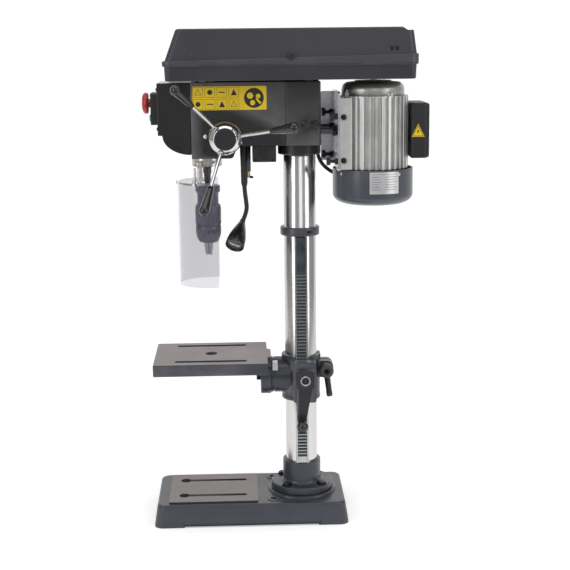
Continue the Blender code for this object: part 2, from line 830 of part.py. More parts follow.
def build_guard():
    origin = (GUARD_PIVOT_X, 0.0, GUARD_PIVOT_Z)
    inner = GUARD_RADIUS - GUARD_WALL
    outline = guard_plan(GUARD_RADIUS, GUARD_OPEN_X) + list(reversed(guard_plan(inner, GUARD_OPEN_X)))
    finish(
        "guard_shield",
        prism(outline, GUARD_BOTTOM, GUARD_TOP),
        (0.85, 0.88, 0.92),
        0.08,
        0.0,
        origin,
        0.3,
    )
    edge = inner - GAP
    plate_outline = guard_plan(edge, -158.0) + list(reversed(guard_plan(29.5, -158.0)))
    plate = finish("guard_bracket", prism(plate_outline, 639.0, 642.0), (0.5, 0.5, 0.5), 0.3, 1.0, origin)
    straps = []
    for side in (-1.0, 1.0):
        near = side * (COLLAR_RADIUS + GAP + 0.2)
        far = side * (COLLAR_RADIUS + 3.2)
        straps.append(
            box(
                (GUARD_PIVOT_X - 5.0, min(near, far), 640.5),
                (GUARD_PIVOT_X + 5.0, max(near, far), GUARD_PIVOT_Z + 5.0),
            )
        )
    combine(plate, straps, "UNION")


# ---------------------------------------------------------------- feed

def build_feed_shaft():
    profile = (
        (0.0, 0.0),
        (FEED_SHAFT_RADIUS - 1.0, 0.0),
        (FEED_SHAFT_RADIUS, 1.0),
        (FEED_SHAFT_RADIUS, 145.0),
        (0.0, 145.0),
    )
    finish(
        "feed_shaft",
        turned(profile, 24, (FEED_X, HUB_FRONT_Y + 0.5, FEED_Z), (0.0, 1.0, 0.0)),
        (0.4, 0.4, 0.4),
        0.3,
        1.0,
        (FEED_X, 0.0, FEED_Z),
    )


def build_feed_hub():
    origin = (FEED_X, 0.0, FEED_Z)
    bore = FEED_SHAFT_RADIUS + 0.3
    depth = HUB_BACK_Y - HUB_FRONT_Y
    profile = (
        (bore, 0.0),
        (HUB_RADIUS - 8.5, 0.0),
        (HUB_RADIUS, 9.7),
        (HUB_RADIUS, 15.0),
        (24.0, depth),
        (bore, depth),
    )
    finish(
        "feed_hub",
        turned(profile, 24, (FEED_X, HUB_FRONT_Y, FEED_Z), (0.0, 1.0, 0.0)),
        (0.75, 0.75, 0.76),
        0.12,
        1.0,
        origin,
    )
    cap = ((0.0, 0.0), (18.8, 0.0), (19.8, 0.9), (19.8, 3.0), (0.0, 3.0))
    finish(
        "hub_cap",
        turned(cap, 24, (FEED_X, HUB_FRONT_Y - 3.0 - GAP, FEED_Z), (0.0, 1.0, 0.0)),
        (0.02, 0.02, 0.024),
        0.45,
        origin=origin,
    )
    ring = ((bore, 0.0), (28.5, 0.0), (29.5, 1.0), (29.5, 13.0), (28.5, 14.0), (bore, 14.0))
    finish(
        "depth_ring",
        turned(ring, 24, (FEED_X, HUB_BACK_Y + GAP, FEED_Z), (0.0, 1.0, 0.0)),
        (0.35, 0.27, 0.16),
        0.35,
        1.0,
        origin,
    )


def feed_point(number, reach):
    """A point on a handle's centre line, at a distance from the feed axis."""
    angle = FEED_START_ANGLE + 2.0 * math.pi * number / 3.0
    return Vector(
        (
            FEED_X + reach * math.cos(angle),
            FEED_APEX_Y - reach * math.tan(FEED_TILT),
            FEED_Z + reach * math.sin(angle),
        )
    )


def build_feed_handles():
    origin = (FEED_X, 0.0, FEED_Z)
    for number in range(3):
        start = feed_point(number, 24.9)
        joint = feed_point(number, GRIP_START)
        end = feed_point(number, GRIP_END)
        finish(
            "feed_rod_%d" % (number + 1),
            rod(start, joint, 3.3, 12),
            (0.75, 0.75, 0.76),
            0.12,
            1.0,
            origin,
        )
        line = end - joint
        length = line.length
        start = joint + line.normalized() * GAP
        profile = (
            (0.0, 0.0),
            (5.0, 0.0),
            (6.2, 1.2),
            (7.0, 0.4 * length),
            (9.4, 0.8 * length),
            (9.2, 0.9 * length),
            (6.5, 0.97 * length),
            (0.0, length - GAP),
        )
        finish(
            "feed_grip_%d" % (number + 1),
            turned(profile, 12, start, line.normalized()),
            (0.02, 0.02, 0.022),
            0.4,
            origin=origin,
        )


def build_return_spring_cap():
    profile = (
        (0.0, 0.0),
        (29.0, 0.0),
        (30.0, 1.0),
        (30.0, 18.0),
        (27.0, 21.0),
        (12.0, 21.0),
        (10.0, 27.0),
        (0.0, 27.0),
    )
    start = (FEED_X, HEAD_HALF_WIDTH + GAP, FEED_Z)
    finish("return_spring_cap", turned(profile, 24, start, (0.0, 1.0, 0.0)), (0.05, 0.05, 0.055), 0.4)


# ---------------------------------------------------------------- rack, bracket, table

def build_rack():
    outline = [(RACK_BACK_Y, RACK_TOP), (RACK_BACK_Y, RACK_BOTTOM), (RACK_ROOT_Y, RACK_BOTTOM)]
    first = RACK_BOTTOM + 12.0
    for number in range(RACK_TEETH):
        z = first + number * RACK_PITCH
        outline += [
            (RACK_ROOT_Y, z),
            (RACK_TIP_Y, z + 1.2),
            (RACK_TIP_Y, z + 3.2),
            (RACK_ROOT_Y, z + 4.4),
        ]
    plain = first + RACK_TEETH * RACK_PITCH
    outline += [(RACK_ROOT_Y, plain), (RACK_TIP_Y, plain + 1.2), (RACK_TIP_Y, RACK_TOP)]
    finish(
        "rack",
        prism(outline, -RACK_HALF_WIDTH, RACK_HALF_WIDTH, "X"),
        (0.25, 0.27, 0.28),
        0.35,
        1.0,
    )


def build_table_bracket():
    ring = turned(
        (
            (0.0, BRACKET_BOTTOM),
            (BRACKET_RADIUS - 1.0, BRACKET_BOTTOM),
            (BRACKET_RADIUS, BRACKET_BOTTOM + 1.0),
            (BRACKET_RADIUS, BRACKET_TOP - 1.0),
            (BRACKET_RADIUS - 1.0, BRACKET_TOP),
            (0.0, BRACKET_TOP),
        ),
        32,
    )
    item = finish("table_bracket", ring, (0.03, 0.032, 0.042), 0.45)
    gear_box = prism(rounded(-17.0, 26.0, 231.0, 308.0, 4.0, 2), -62.0, -20.0, "Y")
    arm = rod((-20.0, 0.0, TILT_Z), (TILT_FACE_X, 0.0, TILT_Z), TILT_RADIUS, 24)
    lug = prism(rounded(25.0, 61.0, 267.0, 299.0, 12.0, 3), -15.5, 15.5, "Y")
    combine(item, [gear_box, arm, lug], "UNION")
    cuts = [
        pin((0.0, 0.0, 200.0), (0.0, 0.0, 330.0), COLUMN_BORE, 32),
        box((-12.6, -41.0, 200.0), (12.6, -25.0, 330.0)),
        box((25.0, -2.5, 200.0), (70.0, 2.5, 330.0)),
        pin((CRANK_X, -70.0, CRANK_Z), (CRANK_X, -46.0, CRANK_Z), 6.4, 20),
        pin((LOCK_X, -30.0, LOCK_Z), (LOCK_X, 30.0, LOCK_Z), 4.4, 16),
    ]
    combine(item, cuts, "DIFFERENCE")


def table_outline(inset):
    return rounded(
        TABLE_FRONT + inset,
        TABLE_REAR - inset,
        -TABLE_HALF_WIDTH + inset,
        TABLE_HALF_WIDTH - inset,
        3.0,
        1,
    )


def build_table():
    origin = (TILT_FACE_X, 0.0, TILT_Z)
    low = TABLE_TOP - TABLE_THICKNESS
    shape = loft(
        (
            at_height(table_outline(1.0), low),
            at_height(table_outline(0.0), low + 1.0),
            at_height(table_outline(0.0), TABLE_TOP - 0.8),
            at_height(table_outline(0.8), TABLE_TOP),
        )
    )
    item = finish("table", shape, (0.22, 0.2, 0.2), 0.45, 0.6, origin)
    hollow = box(
        (TABLE_FRONT + 7.0, -TABLE_HALF_WIDTH + 7.0, low - 5.0),
        (TABLE_REAR - 7.0, TABLE_HALF_WIDTH - 7.0, TABLE_TOP - 10.0),
    )
    combine(item, [hollow], "DIFFERENCE")
    face = TILT_FACE_X - GAP
    disc = rod((-77.0, 0.0, TILT_Z), (face, 0.0, TILT_Z), TILT_RADIUS + 2.5, 24)
    web = box((-156.0, -6.0, 296.0), (-70.0, 6.0, 306.0))
    tab = box((TABLE_REAR - 5.0, -37.0, 295.0), (face, 27.0, TABLE_TOP))
    combine(item, [disc, web, tab], "UNION")
    cuts = [pin((SPINDLE_X, 0.0, 270.0), (SPINDLE_X, 0.0, 330.0), 10.5, 24)]
    for y in (-60.0, 60.0):
        cuts.append(prism(rounded(-237.0, -102.5, y - 6.0, y + 6.0, 5.9, 3), 280.0, 330.0))
    combine(item, cuts, "DIFFERENCE")


def build_crank():
    origin = (CRANK_X, -63.0, CRANK_Z)
    hub = rod((CRANK_X, -62.3, CRANK_Z), (CRANK_X, CRANK_ARM_FRONT - 2.0, CRANK_Z), 11.5, 24)
    item = finish("crank", hub, (0.03, 0.032, 0.038), 0.45, origin=origin)
    left = CRANK_X - 7.0
    outline = (
        (CRANK_X - 14.0, CRANK_Z - 2.0),
        (left - 9.0, CRANK_Z - 82.0),
        (left - 5.0, CRANK_Z - 90.0),
        (left + 5.0, CRANK_Z - 90.0),
        (left + 9.0, CRANK_Z - 82.0),
        (CRANK_X + 14.0, CRANK_Z - 2.0),
    )
    arm = prism(outline, CRANK_ARM_FRONT, CRANK_ARM_BACK, "Y")
    block_outline = rounded(CRANK_X - 16.5, CRANK_X + 16.5, CRANK_Z - 15.0, CRANK_Z + 19.0, 2.5, 1)
    block = prism(block_outline, CRANK_ARM_FRONT - 1.0, -78.0, "Y")
    shaft = rod((CRANK_X, -48.0, CRANK_Z), (CRANK_X, -66.0, CRANK_Z), 6.0, 20)
    combine(item, [arm, block, shaft], "UNION")
    start = Vector((left, CRANK_ARM_FRONT - GAP, CRANK_Z - 81.0))
    line = Vector((0.0, -1.0, 0.0))
    profile = [(0.0, 0.0), (5.5, 0.0), (4.8, 5.0)]
    ball = 11.0
    centre = 20.0
    for k in range(7):
        angle = math.radians(-62.0 + 152.0 * k / 6.0)
        profile.append((ball * math.cos(angle) if k < 6 else 0.0, centre + ball * math.sin(angle)))
    finish("crank_knob", turned(profile, 16, start, line), (0.025, 0.025, 0.028), 0.4, origin=origin)


def build_table_lock():
    origin = (LOCK_X, 0.0, LOCK_Z)
    hub = rod((LOCK_X, -15.8, LOCK_Z), (LOCK_X, -36.0, LOCK_Z), 13.5, 24)
    item = finish("table_lock", hub, (0.025, 0.026, 0.03), 0.42, origin=origin)
    bolt = rod((LOCK_X, -20.0, LOCK_Z), (LOCK_X, 20.0, LOCK_Z), 4.0, 16)
    lever = rod((LOCK_X + 0.5, -26.0, LOCK_Z - 6.0), (LOCK_X + 6.0, -28.0, 233.0), 5.2, 16, 4.2)
    combine(item, [bolt, lever], "UNION")


# ---------------------------------------------------------------- motor

def build_motor_plate():
    outline = rounded(-78.0, 78.0, MOTOR_LOW + 1.0, 806.0, 5.0, 2)
    plate = prism(outline, PLATE_X, PLATE_X + PLATE_THICKNESS, "X")
    item = finish("motor_plate", plate, (0.72, 0.72, 0.75), 0.35, 1.0)
    wing = box((45.0, 74.0, MOTOR_LOW + 6.0), (PLATE_X + 1.0, 77.0, 801.0))
    combine(item, [wing], "UNION")
    for number, y in enumerate((-BAR_Y, BAR_Y)):
        finish(
            "slide_bar_%d" % (number + 1),
            rod((0.0, y, BAR_Z), (PLATE_X - GAP, y, BAR_Z), BAR_RADIUS, 12),
            (0.06, 0.06, 0.065),
            0.4,
            0.8,
        )


def fin_outline():
    points = []
    for number in range(FIN_COUNT):
        middle = 2.0 * math.pi * number / FIN_COUNT
        pitch = 2.0 * math.pi / FIN_COUNT
        for share, radius in ((-0.30, FIN_ROOT), (-0.16, FIN_RADIUS), (0.16, FIN_RADIUS), (0.30, FIN_ROOT)):
            angle = middle + share * pitch
            points.append((MOTOR_X + radius * math.cos(angle), radius * math.sin(angle)))
    return points


def build_motor_body():
    item = finish("motor_body", prism(fin_outline(), MOTOR_LOW, MOTOR_HIGH), (0.62, 0.62, 0.64), 0.35, 0.9)
    foot = box((PLATE_X + PLATE_THICKNESS + GAP, -60.0, 666.0), (FOOT_REAR, 60.0, FOOT_TOP))
    combine(item, [foot], "UNION")


def build_motor_ends():
    profile = (
        (8.0, MOTOR_HIGH + GAP),
        (57.2, MOTOR_HIGH + GAP),
        (57.7, 804.5),
        (55.0, 814.0),
        (46.5, 820.5),
        (36.0, BELL_TOP),
        (8.0, BELL_TOP),
    )
    start = (MOTOR_X, 0.0, 0.0)
    finish("motor_bell", turned(profile, 24, start), (0.28, 0.28, 0.3), 0.4, 0.6)
    high = MOTOR_LOW - GAP
    profile = [(0.0, COWL_BOTTOM), (48.0, COWL_BOTTOM)]
    for k in range(1, 6):
        angle = math.radians(90.0 * k / 5.0)
        radius = 48.0 + (COWL_RADIUS - 48.0) * math.sin(angle)
        profile.append((radius, COWL_BOTTOM + 18.0 * (1.0 - math.cos(angle))))
    profile += [(COWL_RADIUS, high), (COWL_RADIUS - 2.5, high), (COWL_RADIUS - 2.5, 620.0)]
    profile += [(50.0, COWL_BOTTOM + 3.0), (0.0, COWL_BOTTOM + 3.0)]
    finish("fan_cowl", turned(profile, 28, start), (0.035, 0.038, 0.05), 0.4)


def build_terminal_box():
    low = rounded(201.4, 235.0, -42.0, 42.0, 5.0, 2)
    finish("terminal_box", prism(low, 683.0, 783.0), (0.022, 0.022, 0.024), 0.45)


def build_motor_lead():
    """The black lead from under the head to the fan cowl, held at both ends."""
    route = (
        (36.0, 46.5, 709.2),
        (36.0, 46.5, 697.0),
        (37.5, 46.5, 684.0),
        (42.0, 46.5, 672.0),
        (49.5, 48.0, 662.0),
        (58.5, 49.0, 654.5),
        (65.9, 48.6, 650.0),
        (73.4, 43.6, 648.0),
    )
    points = smooth_route(route, 4)
    curve = bpy.data.curves.new("motor_lead", "CURVE")
    curve.dimensions = "3D"
    curve.bevel_depth = 3.5 * MM
    curve.bevel_resolution = 2
    curve.use_fill_caps = True
    spline = curve.splines.new("POLY")
    spline.points.add(len(points) - 1)
    for number, point in enumerate(points):
        spline.points[number].co = (*(point * MM), 1.0)
    item = bpy.data.objects.new("motor_lead", curve)
    item.location = (COLUMN_X * MM, COLUMN_Y * MM, 0.0)
    curve.materials.append(make_material("motor_lead_finish", (0.015, 0.015, 0.016), 0.6))
    bpy.context.collection.objects.link(item)


def smooth_route(route, pieces):
    """Points on a Catmull-Rom curve through a route's own points."""
    knots = [Vector(point) for point in route]
    knots = [2.0 * knots[0] - knots[1]] + knots + [2.0 * knots[-1] - knots[-2]]
    points = []
    for p0, p1, p2, p3 in zip(knots, knots[1:], knots[2:], knots[3:]):
        for k in range(pieces):
            t = k / pieces
            slope = (p2 - p0) * t
            bend = (2.0 * p0 - 5.0 * p1 + 4.0 * p2 - p3) * t * t
            twist = (3.0 * p1 - p0 - 3.0 * p2 + p3) * t * t * t
            points.append(0.5 * (2.0 * p1 + slope + bend + twist))
    points.append(knots[-2])
    return points


def build_slide_lock():
    origin = (12.0, -54.0, 747.0)
    hub = rod((12.0, -54.4, 747.0), (12.0, -68.0, 747.0), 8.0, 16)
    item = finish("slide_lock", hub, (0.025, 0.025, 0.028), 0.45, origin=origin)
    lever = rod((12.0, -62.0, 747.0), (36.0, -64.0, 747.0), 3.6, 12)
    combine(item, [lever], "UNION")


# ---------------------------------------------------------------- lamp and small parts

def tube(path, radius, steps=12):
    """A closed round tube along a path that bends in one plane."""
    rings = []
    for number, point in enumerate(path):
        before = path[max(number - 1, 0)]
        after = path[min(number + 1, len(path) - 1)]
        tangent = (after - before).normalized()
        side = Vector((0.0, 1.0, 0.0))
        up = tangent.cross(side).normalized()
        ring = []
        for k in range(steps):
            angle = 2.0 * math.pi * k / steps
            ring.append(point + side * radius * math.cos(angle) + up * radius * math.sin(angle))
        rings.append(ring)
    return loft(rings)


def build_lamp():
    high = HEAD_BOTTOM - GAP
    profile = ((0.0, 634.0), (5.0, 634.0), (5.8, 640.0), (7.4, 704.0), (7.4, high), (0.0, high))
    finish("lamp_sleeve", turned(profile, 20, (LAMP_X, LAMP_Y, 0.0)), (0.025, 0.025, 0.028), 0.4)
    route = (
        (LAMP_X, LAMP_Y, 633.7),
        (-101.2, LAMP_Y, 622.0),
        (-99.6, LAMP_Y, 608.0),
        (-98.6, LAMP_Y, 594.0),
        (-101.5, LAMP_Y, 581.0),
        (-106.0, LAMP_Y, 570.5),
    )
    finish("lamp_neck", tube(smooth_route(route, 3), 4.2, 10), (0.03, 0.03, 0.034), 0.4)
    end = Vector(route[-1])
    mouth = Vector((-122.0, -62.0, 530.0))
    line = (mouth - end).normalized()
    start = end + line * 3.5
    length = (mouth - start).length
    outer = [(0.0, 0.0), (3.0, 0.0), (6.5, 3.5), (10.5, 14.0), (15.0, 29.0), (17.5, 41.0), (17.5, length)]
    inner = [(16.0, length), (15.8, 41.0), (12.0, 26.0), (0.0, 20.0)]
    finish("lamp_shade", turned(outer + inner, 18, start, line), (0.025, 0.025, 0.03), 0.35)


def build_power_box():
    outline = rounded(-86.5, -43.5, -45.0, 15.0, 3.0, 2)
    finish("power_box", prism(outline, 680.0, HEAD_BOTTOM - GAP), (0.022, 0.022, 0.024), 0.5)
    profile = ((0.0, 0.0), (7.0, 0.0), (7.0, 4.0), (5.0, 5.0), (4.2, 14.0), (0.0, 14.0))
    finish(
        "mains_gland",
        turned(profile, 16, (-65.0, 15.0 + GAP, 694.0), (0.0, 1.0, 0.0)),
        (0.02, 0.02, 0.02),
        0.6,
    )


def build_clamp_stem():
    profile = ((0.0, 659.0), (5.2, 659.0), (5.9, 660.0), (5.9, HEAD_BOTTOM - GAP), (0.0, HEAD_BOTTOM - GAP))
    finish("clamp_stem", turned(profile, 16, (STEM_X, STEM_Y, 0.0)), (0.03, 0.03, 0.034), 0.35, 0.5)
    hub = turned(
        ((0.0, 648.0), (4.0, 648.0), (4.0, 652.0), (5.0, 653.0), (5.0, 658.0), (0.0, 658.0)),
        12,
        (STEM_X, STEM_Y, 0.0),
    )
    item = finish("clamp_lever", hub, (0.5, 0.36, 0.16), 0.3, 1.0, (STEM_X, STEM_Y, 650.0))
    lever = rod((STEM_X - 4.0, STEM_Y, 650.5), (STEM_X + 10.0, STEM_Y, 648.5), 2.2, 10)
    combine(item, [lever], "UNION")


def main():
    clear_scene()
    build_base()
    build_column_flange()
    build_column()
    build_rack_ring()
    build_head()
    build_switch_housing()
    build_switch_box()
    build_buttons()
    build_lid()
    build_tray()
    build_pulleys()
    build_idler_post()
    build_belts()
    build_quill()
    build_guard_collar()
    build_spindle()
    build_chuck()
    build_jaws()
    build_guard()
    build_feed_shaft()
    build_feed_hub()
    build_feed_handles()
    build_return_spring_cap()
    build_rack()
    build_table_bracket()
    build_table()
    build_crank()
    build_table_lock()
    build_motor_plate()
    build_motor_body()
    build_motor_ends()
    build_terminal_box()
    build_motor_lead()
    build_slide_lock()
    build_lamp()
    build_power_box()
    build_clamp_stem()


main()
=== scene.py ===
"""The looks of a bench drill press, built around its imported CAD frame.

Shapes are written in millimetres in the press frame (column axis at X = Y = 0, bench at Z = 0) and
piece() moves them into the row frame in metres.
"""
import math

import bmesh
import bpy
from mathutils import Matrix, Vector


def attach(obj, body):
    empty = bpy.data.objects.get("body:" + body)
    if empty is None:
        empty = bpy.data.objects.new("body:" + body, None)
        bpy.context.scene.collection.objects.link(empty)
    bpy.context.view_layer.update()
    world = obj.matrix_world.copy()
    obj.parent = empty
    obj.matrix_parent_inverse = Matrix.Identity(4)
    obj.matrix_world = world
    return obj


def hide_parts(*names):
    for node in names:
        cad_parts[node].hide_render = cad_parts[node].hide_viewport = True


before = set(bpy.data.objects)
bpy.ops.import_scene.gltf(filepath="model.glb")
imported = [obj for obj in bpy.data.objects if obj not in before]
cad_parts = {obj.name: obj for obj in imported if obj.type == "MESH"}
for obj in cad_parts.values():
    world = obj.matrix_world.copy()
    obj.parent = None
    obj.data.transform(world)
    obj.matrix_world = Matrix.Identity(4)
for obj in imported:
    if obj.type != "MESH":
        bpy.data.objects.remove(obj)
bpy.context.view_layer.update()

MM = 0.001
OFFSET = Vector((25.5, 40.863, 0.0))
ROUND = 96


# ---------------------------------------------------------------- materials

def surface(
    name,
    colour,
    roughness,
    metallic=0.0,
    tone=0.14,
    cloud=22.0,
    grain=900.0,
    grain_bump=0.12,
    spread=0.07,
    stretch=(1.0, 1.0, 1.0),
    coat=0.0,
    edge_wear_and_highlight=0.0,
    edge_wear_and_highlight_colour=(0.3, 0.3, 0.31),
):
    """A procedural material: clouded tone, grain in the bump and the roughness, and lighter edges that are
    partly worn paint and partly a painted edge highlight.
    """
    material = bpy.data.materials.new(name)
    material.use_nodes = True
    tree = material.node_tree
    shader = tree.nodes["Principled BSDF"]
    shader.inputs["Metallic"].default_value = metallic
    shader.inputs["Coat Weight"].default_value = coat
    shader.inputs["Coat Roughness"].default_value = 0.12
    place = tree.nodes.new("ShaderNodeTexCoord")
    mapping = tree.nodes.new("ShaderNodeMapping")
    mapping.inputs["Scale"].default_value = stretch
    tree.links.new(place.outputs["Object"], mapping.inputs["Vector"])
    clouds = tree.nodes.new("ShaderNodeTexNoise")
    clouds.inputs["Scale"].default_value = cloud
    clouds.inputs["Detail"].default_value = 5.0
    tree.links.new(place.outputs["Object"], clouds.inputs["Vector"])
    fine = tree.nodes.new("ShaderNodeTexNoise")
    fine.inputs["Scale"].default_value = grain
    fine.inputs["Detail"].default_value = 3.0
    tree.links.new(mapping.outputs["Vector"], fine.inputs["Vector"])
    ramp = tree.nodes.new("ShaderNodeValToRGB")
    dark = [c * (1.0 - tone) for c in colour]
    light = [min(1.0, c * (1.0 + tone)) for c in colour]
    ramp.color_ramp.elements[0].position = 0.3
    ramp.color_ramp.elements[0].color = (*dark, 1.0)
    ramp.color_ramp.elements[1].position = 0.7
    ramp.color_ramp.elements[1].color = (*light, 1.0)
    tree.links.new(clouds.outputs["Fac"], ramp.inputs["Fac"])
    speck = tree.nodes.new("ShaderNodeMix")
    speck.data_type = "RGBA"
    speck.blend_type = "OVERLAY"
    speck.inputs["Factor"].default_value = 0.18
    tree.links.new(ramp.outputs["Color"], speck.inputs[6])
    tree.links.new(fine.outputs["Fac"], speck.inputs[7])
    colour_out = speck.outputs[2]
    # Lighter sharp edges: partly worn paint and plastic, partly a painted edge highlight.
    if edge_wear_and_highlight:
        colour_out = worn_and_highlit_edges(tree, colour_out, clouds, edge_wear_and_highlight, edge_wear_and_highlight_colour)
    tree.links.new(colour_out, shader.inputs["Base Color"])
    gloss = tree.nodes.new("ShaderNodeMapRange")
    gloss.inputs["From Min"].default_value = 0.3
    gloss.inputs["From Max"].default_value = 0.7
    gloss.inputs["To Min"].default_value = max(0.02, roughness - spread)
    gloss.inputs["To Max"].default_value = min(1.0, roughness + spread)
    tree.links.new(clouds.outputs["Fac"], gloss.inputs["Value"])
    tree.links.new(gloss.outputs["Result"], shader.inputs["Roughness"])
    if grain_bump:
        bump = tree.nodes.new("ShaderNodeBump")
        bump.inputs["Strength"].default_value = grain_bump
        bump.inputs["Distance"].default_value = 0.0003
        tree.links.new(fine.outputs["Fac"], bump.inputs["Height"])
        tree.links.new(bump.outputs["Normal"], shader.inputs["Normal"])
    return material


def worn_and_highlit_edges(tree, colour_out, clouds, amount, edge_wear_and_highlight_colour):
    """Lighten sharp edges where the clouds are bright: partly wear from handling on paint and plastic,
    partly a painted highlight along the edges.
    """
    geometry = tree.nodes.new("ShaderNodeNewGeometry")
    edge = tree.nodes.new("ShaderNodeMapRange")
    edge.inputs["From Min"].default_value = 0.53
    edge.inputs["From Max"].default_value = 0.62
    edge.inputs["To Max"].default_value = amount
    tree.links.new(geometry.outputs["Pointiness"], edge.inputs["Value"])
    patch = tree.nodes.new("ShaderNodeMath")
    patch.operation = "MULTIPLY"
    tree.links.new(edge.outputs["Result"], patch.inputs[0])
    tree.links.new(clouds.outputs["Fac"], patch.inputs[1])
    mix = tree.nodes.new("ShaderNodeMix")
    mix.data_type = "RGBA"
    tree.links.new(patch.outputs[0], mix.inputs["Factor"])
    tree.links.new(colour_out, mix.inputs[6])
    mix.inputs[7].default_value = (*edge_wear_and_highlight_colour, 1.0)
    return mix.outputs[2]


def clear(name, colour, roughness, alpha):
    """Clear moulded plastic: mostly see-through, with a faint tint that the noise varies."""
    material = surface(name, colour, roughness, 0.0, 0.05, 12.0, 300.0, 0.02, 0.02)
    shader = material.node_tree.nodes["Principled BSDF"]
    shader.inputs["Transmission Weight"].default_value = 0.0
    shader.inputs["Alpha"].default_value = alpha
    shader.inputs["IOR"].default_value = 1.49
    return material


BLUE = surface("blue_enamel", (0.032, 0.036, 0.049), 0.36, 0.0, 0.16, 18.0, 420.0, 0.1, 0.06, coat=0.15,
               edge_wear_and_highlight=0.5)
HEAD = surface("black_enamel", (0.012, 0.012, 0.015), 0.42, 0.0, 0.15, 18.0, 520.0, 0.12, 0.06, coat=0.1,
               edge_wear_and_highlight=0.6)
COVER = surface("charcoal_powder", (0.031, 0.032, 0.04), 0.4, 0.0, 0.1, 14.0, 1300.0, 0.22, 0.05, edge_wear_and_highlight=0.5)
GLOSS = surface("gloss_black", (0.008, 0.008, 0.01), 0.25, 0.0, 0.1, 20.0, 700.0, 0.03, 0.06, coat=0.3)
PLASTIC = surface("matt_black", (0.011, 0.011, 0.013), 0.48, 0.0, 0.15, 24.0, 1500.0, 0.2, 0.06, edge_wear_and_highlight=0.2)
RUBBER = surface("rubber_black", (0.014, 0.014, 0.015), 0.62, 0.0, 0.15, 40.0, 1600.0, 0.2, 0.08)
GROUND = surface("ground_iron", (0.21, 0.185, 0.178), 0.42, 0.75, 0.16, 16.0, 420.0, 0.1, 0.08,
                 (0.12, 1.0, 1.0))
COLUMN = surface("polished_column", (0.62, 0.61, 0.6), 0.19, 1.0, 0.05, 9.0, 700.0, 0.03, 0.04,
                 (1.0, 1.0, 0.06))
STEEL = surface("turned_steel", (0.56, 0.54, 0.51), 0.27, 1.0, 0.08, 30.0, 900.0, 0.06, 0.06,
                (0.1, 0.1, 1.0))
RACK = surface("rack_steel", (0.08, 0.1, 0.11), 0.34, 0.9, 0.25, 45.0, 600.0, 0.1, 0.1)
# A lighter copy of the rack steel: a painted highlight on the rack's sides and edges.
RACK_PAINTED_HIGHLIGHT = surface("rack_painted_highlight", (0.45, 0.46, 0.46), 0.22, 1.0, 0.1, 40.0, 700.0, 0.05, 0.06)
CHROME = surface("chrome", (0.64, 0.64, 0.66), 0.07, 1.0, 0.03, 30.0, 500.0, 0.01, 0.03)
GOLD = surface("bronzed_ring", (0.21, 0.16, 0.09), 0.32, 0.9, 0.2, 60.0, 900.0, 0.08, 0.08, (0.1, 1.0, 0.1))
CHUCK = surface("chuck_steel", (0.07, 0.07, 0.078), 0.33, 0.9, 0.16, 50.0, 900.0, 0.07, 0.08, edge_wear_and_highlight=0.5)
DARK = surface("dark_steel", (0.09, 0.09, 0.095), 0.38, 0.9, 0.15, 50.0, 900.0, 0.08, 0.08)
OXIDE = surface("black_oxide", (0.012, 0.012, 0.013), 0.4, 0.4, 0.2, 60.0, 900.0, 0.1, 0.08)
SCREW = surface("zinc_screw", (0.6, 0.6, 0.6), 0.3, 1.0, 0.12, 90.0, 900.0, 0.1, 0.08)
ALUMINIUM = surface("bare_aluminium", (0.62, 0.62, 0.61), 0.4, 0.9, 0.1, 30.0, 650.0, 0.16, 0.08)
BELL = surface("grey_bell", (0.44, 0.43, 0.41), 0.36, 0.9, 0.1, 30.0, 700.0, 0.1, 0.06)
COWL = surface("blue_grey_cowl", (0.052, 0.059, 0.073), 0.33, 0.0, 0.1, 20.0, 800.0, 0.06, 0.05, coat=0.2,
               edge_wear_and_highlight=0.4)
ZINC = surface("zinc_plate", (0.6, 0.6, 0.64), 0.24, 1.0, 0.12, 16.0, 300.0, 0.06, 0.08)
RED = surface("red_plastic", (0.42, 0.012, 0.015), 0.3, 0.0, 0.12, 60.0, 900.0, 0.05, 0.05, coat=0.3)
GREEN = surface("green_plastic", (0.02, 0.26, 0.09), 0.3, 0.0, 0.12, 60.0, 900.0, 0.05, 0.05, coat=0.3)
YELLOW = surface("yellow_label", (0.8, 0.56, 0.01), 0.4, 0.0, 0.05, 40.0, 900.0, 0.02, 0.05)
LABEL_INK = surface("label_ink", (0.02, 0.016, 0.012), 0.45, 0.0, 0.1, 40.0, 900.0, 0.02, 0.05)
PLATE = surface("name_plate", (0.62, 0.62, 0.63), 0.35, 0.6, 0.06, 40.0, 900.0, 0.03, 0.05)
PLATE_INK = surface("plate_ink", (0.2, 0.2, 0.21), 0.5, 0.2, 0.06, 40.0, 900.0, 0.03, 0.05)
BRASS = surface("turned_brass", (0.62, 0.4, 0.14), 0.24, 1.0, 0.1, 60.0, 900.0, 0.05, 0.06)
WHITE = surface("white_mark", (0.7, 0.7, 0.7), 0.45, 0.0, 0.05, 60.0, 900.0, 0.02, 0.05)
CLEAR = clear("clear_guard", (0.22, 0.2, 0.28), 0.06, 0.18)
LENS = surface("lamp_lens", (0.2, 0.2, 0.23), 0.1, 0.6, 0.1, 60.0, 400.0, 0.06, 0.04, coat=0.5)
INSIDE = surface("bright_inside", (0.5, 0.5, 0.5), 0.3, 0.9, 0.08, 60.0, 400.0, 0.06, 0.05)


# ---------------------------------------------------------------- shape helpers

def loft(outlines):
    bm = bmesh.new()
    rings = [[bm.verts.new(point) for point in outline] for outline in outlines]
    count = len(rings[0])
    for lower, upper in zip(rings, rings[1:]):
        for k in range(count):
            following = (k + 1) % count
            bm.faces.new((lower[k], lower[following], upper[following], upper[k]))
    bm.faces.new(list(reversed(rings[0])))
    bm.faces.new(rings[-1])
    return bm


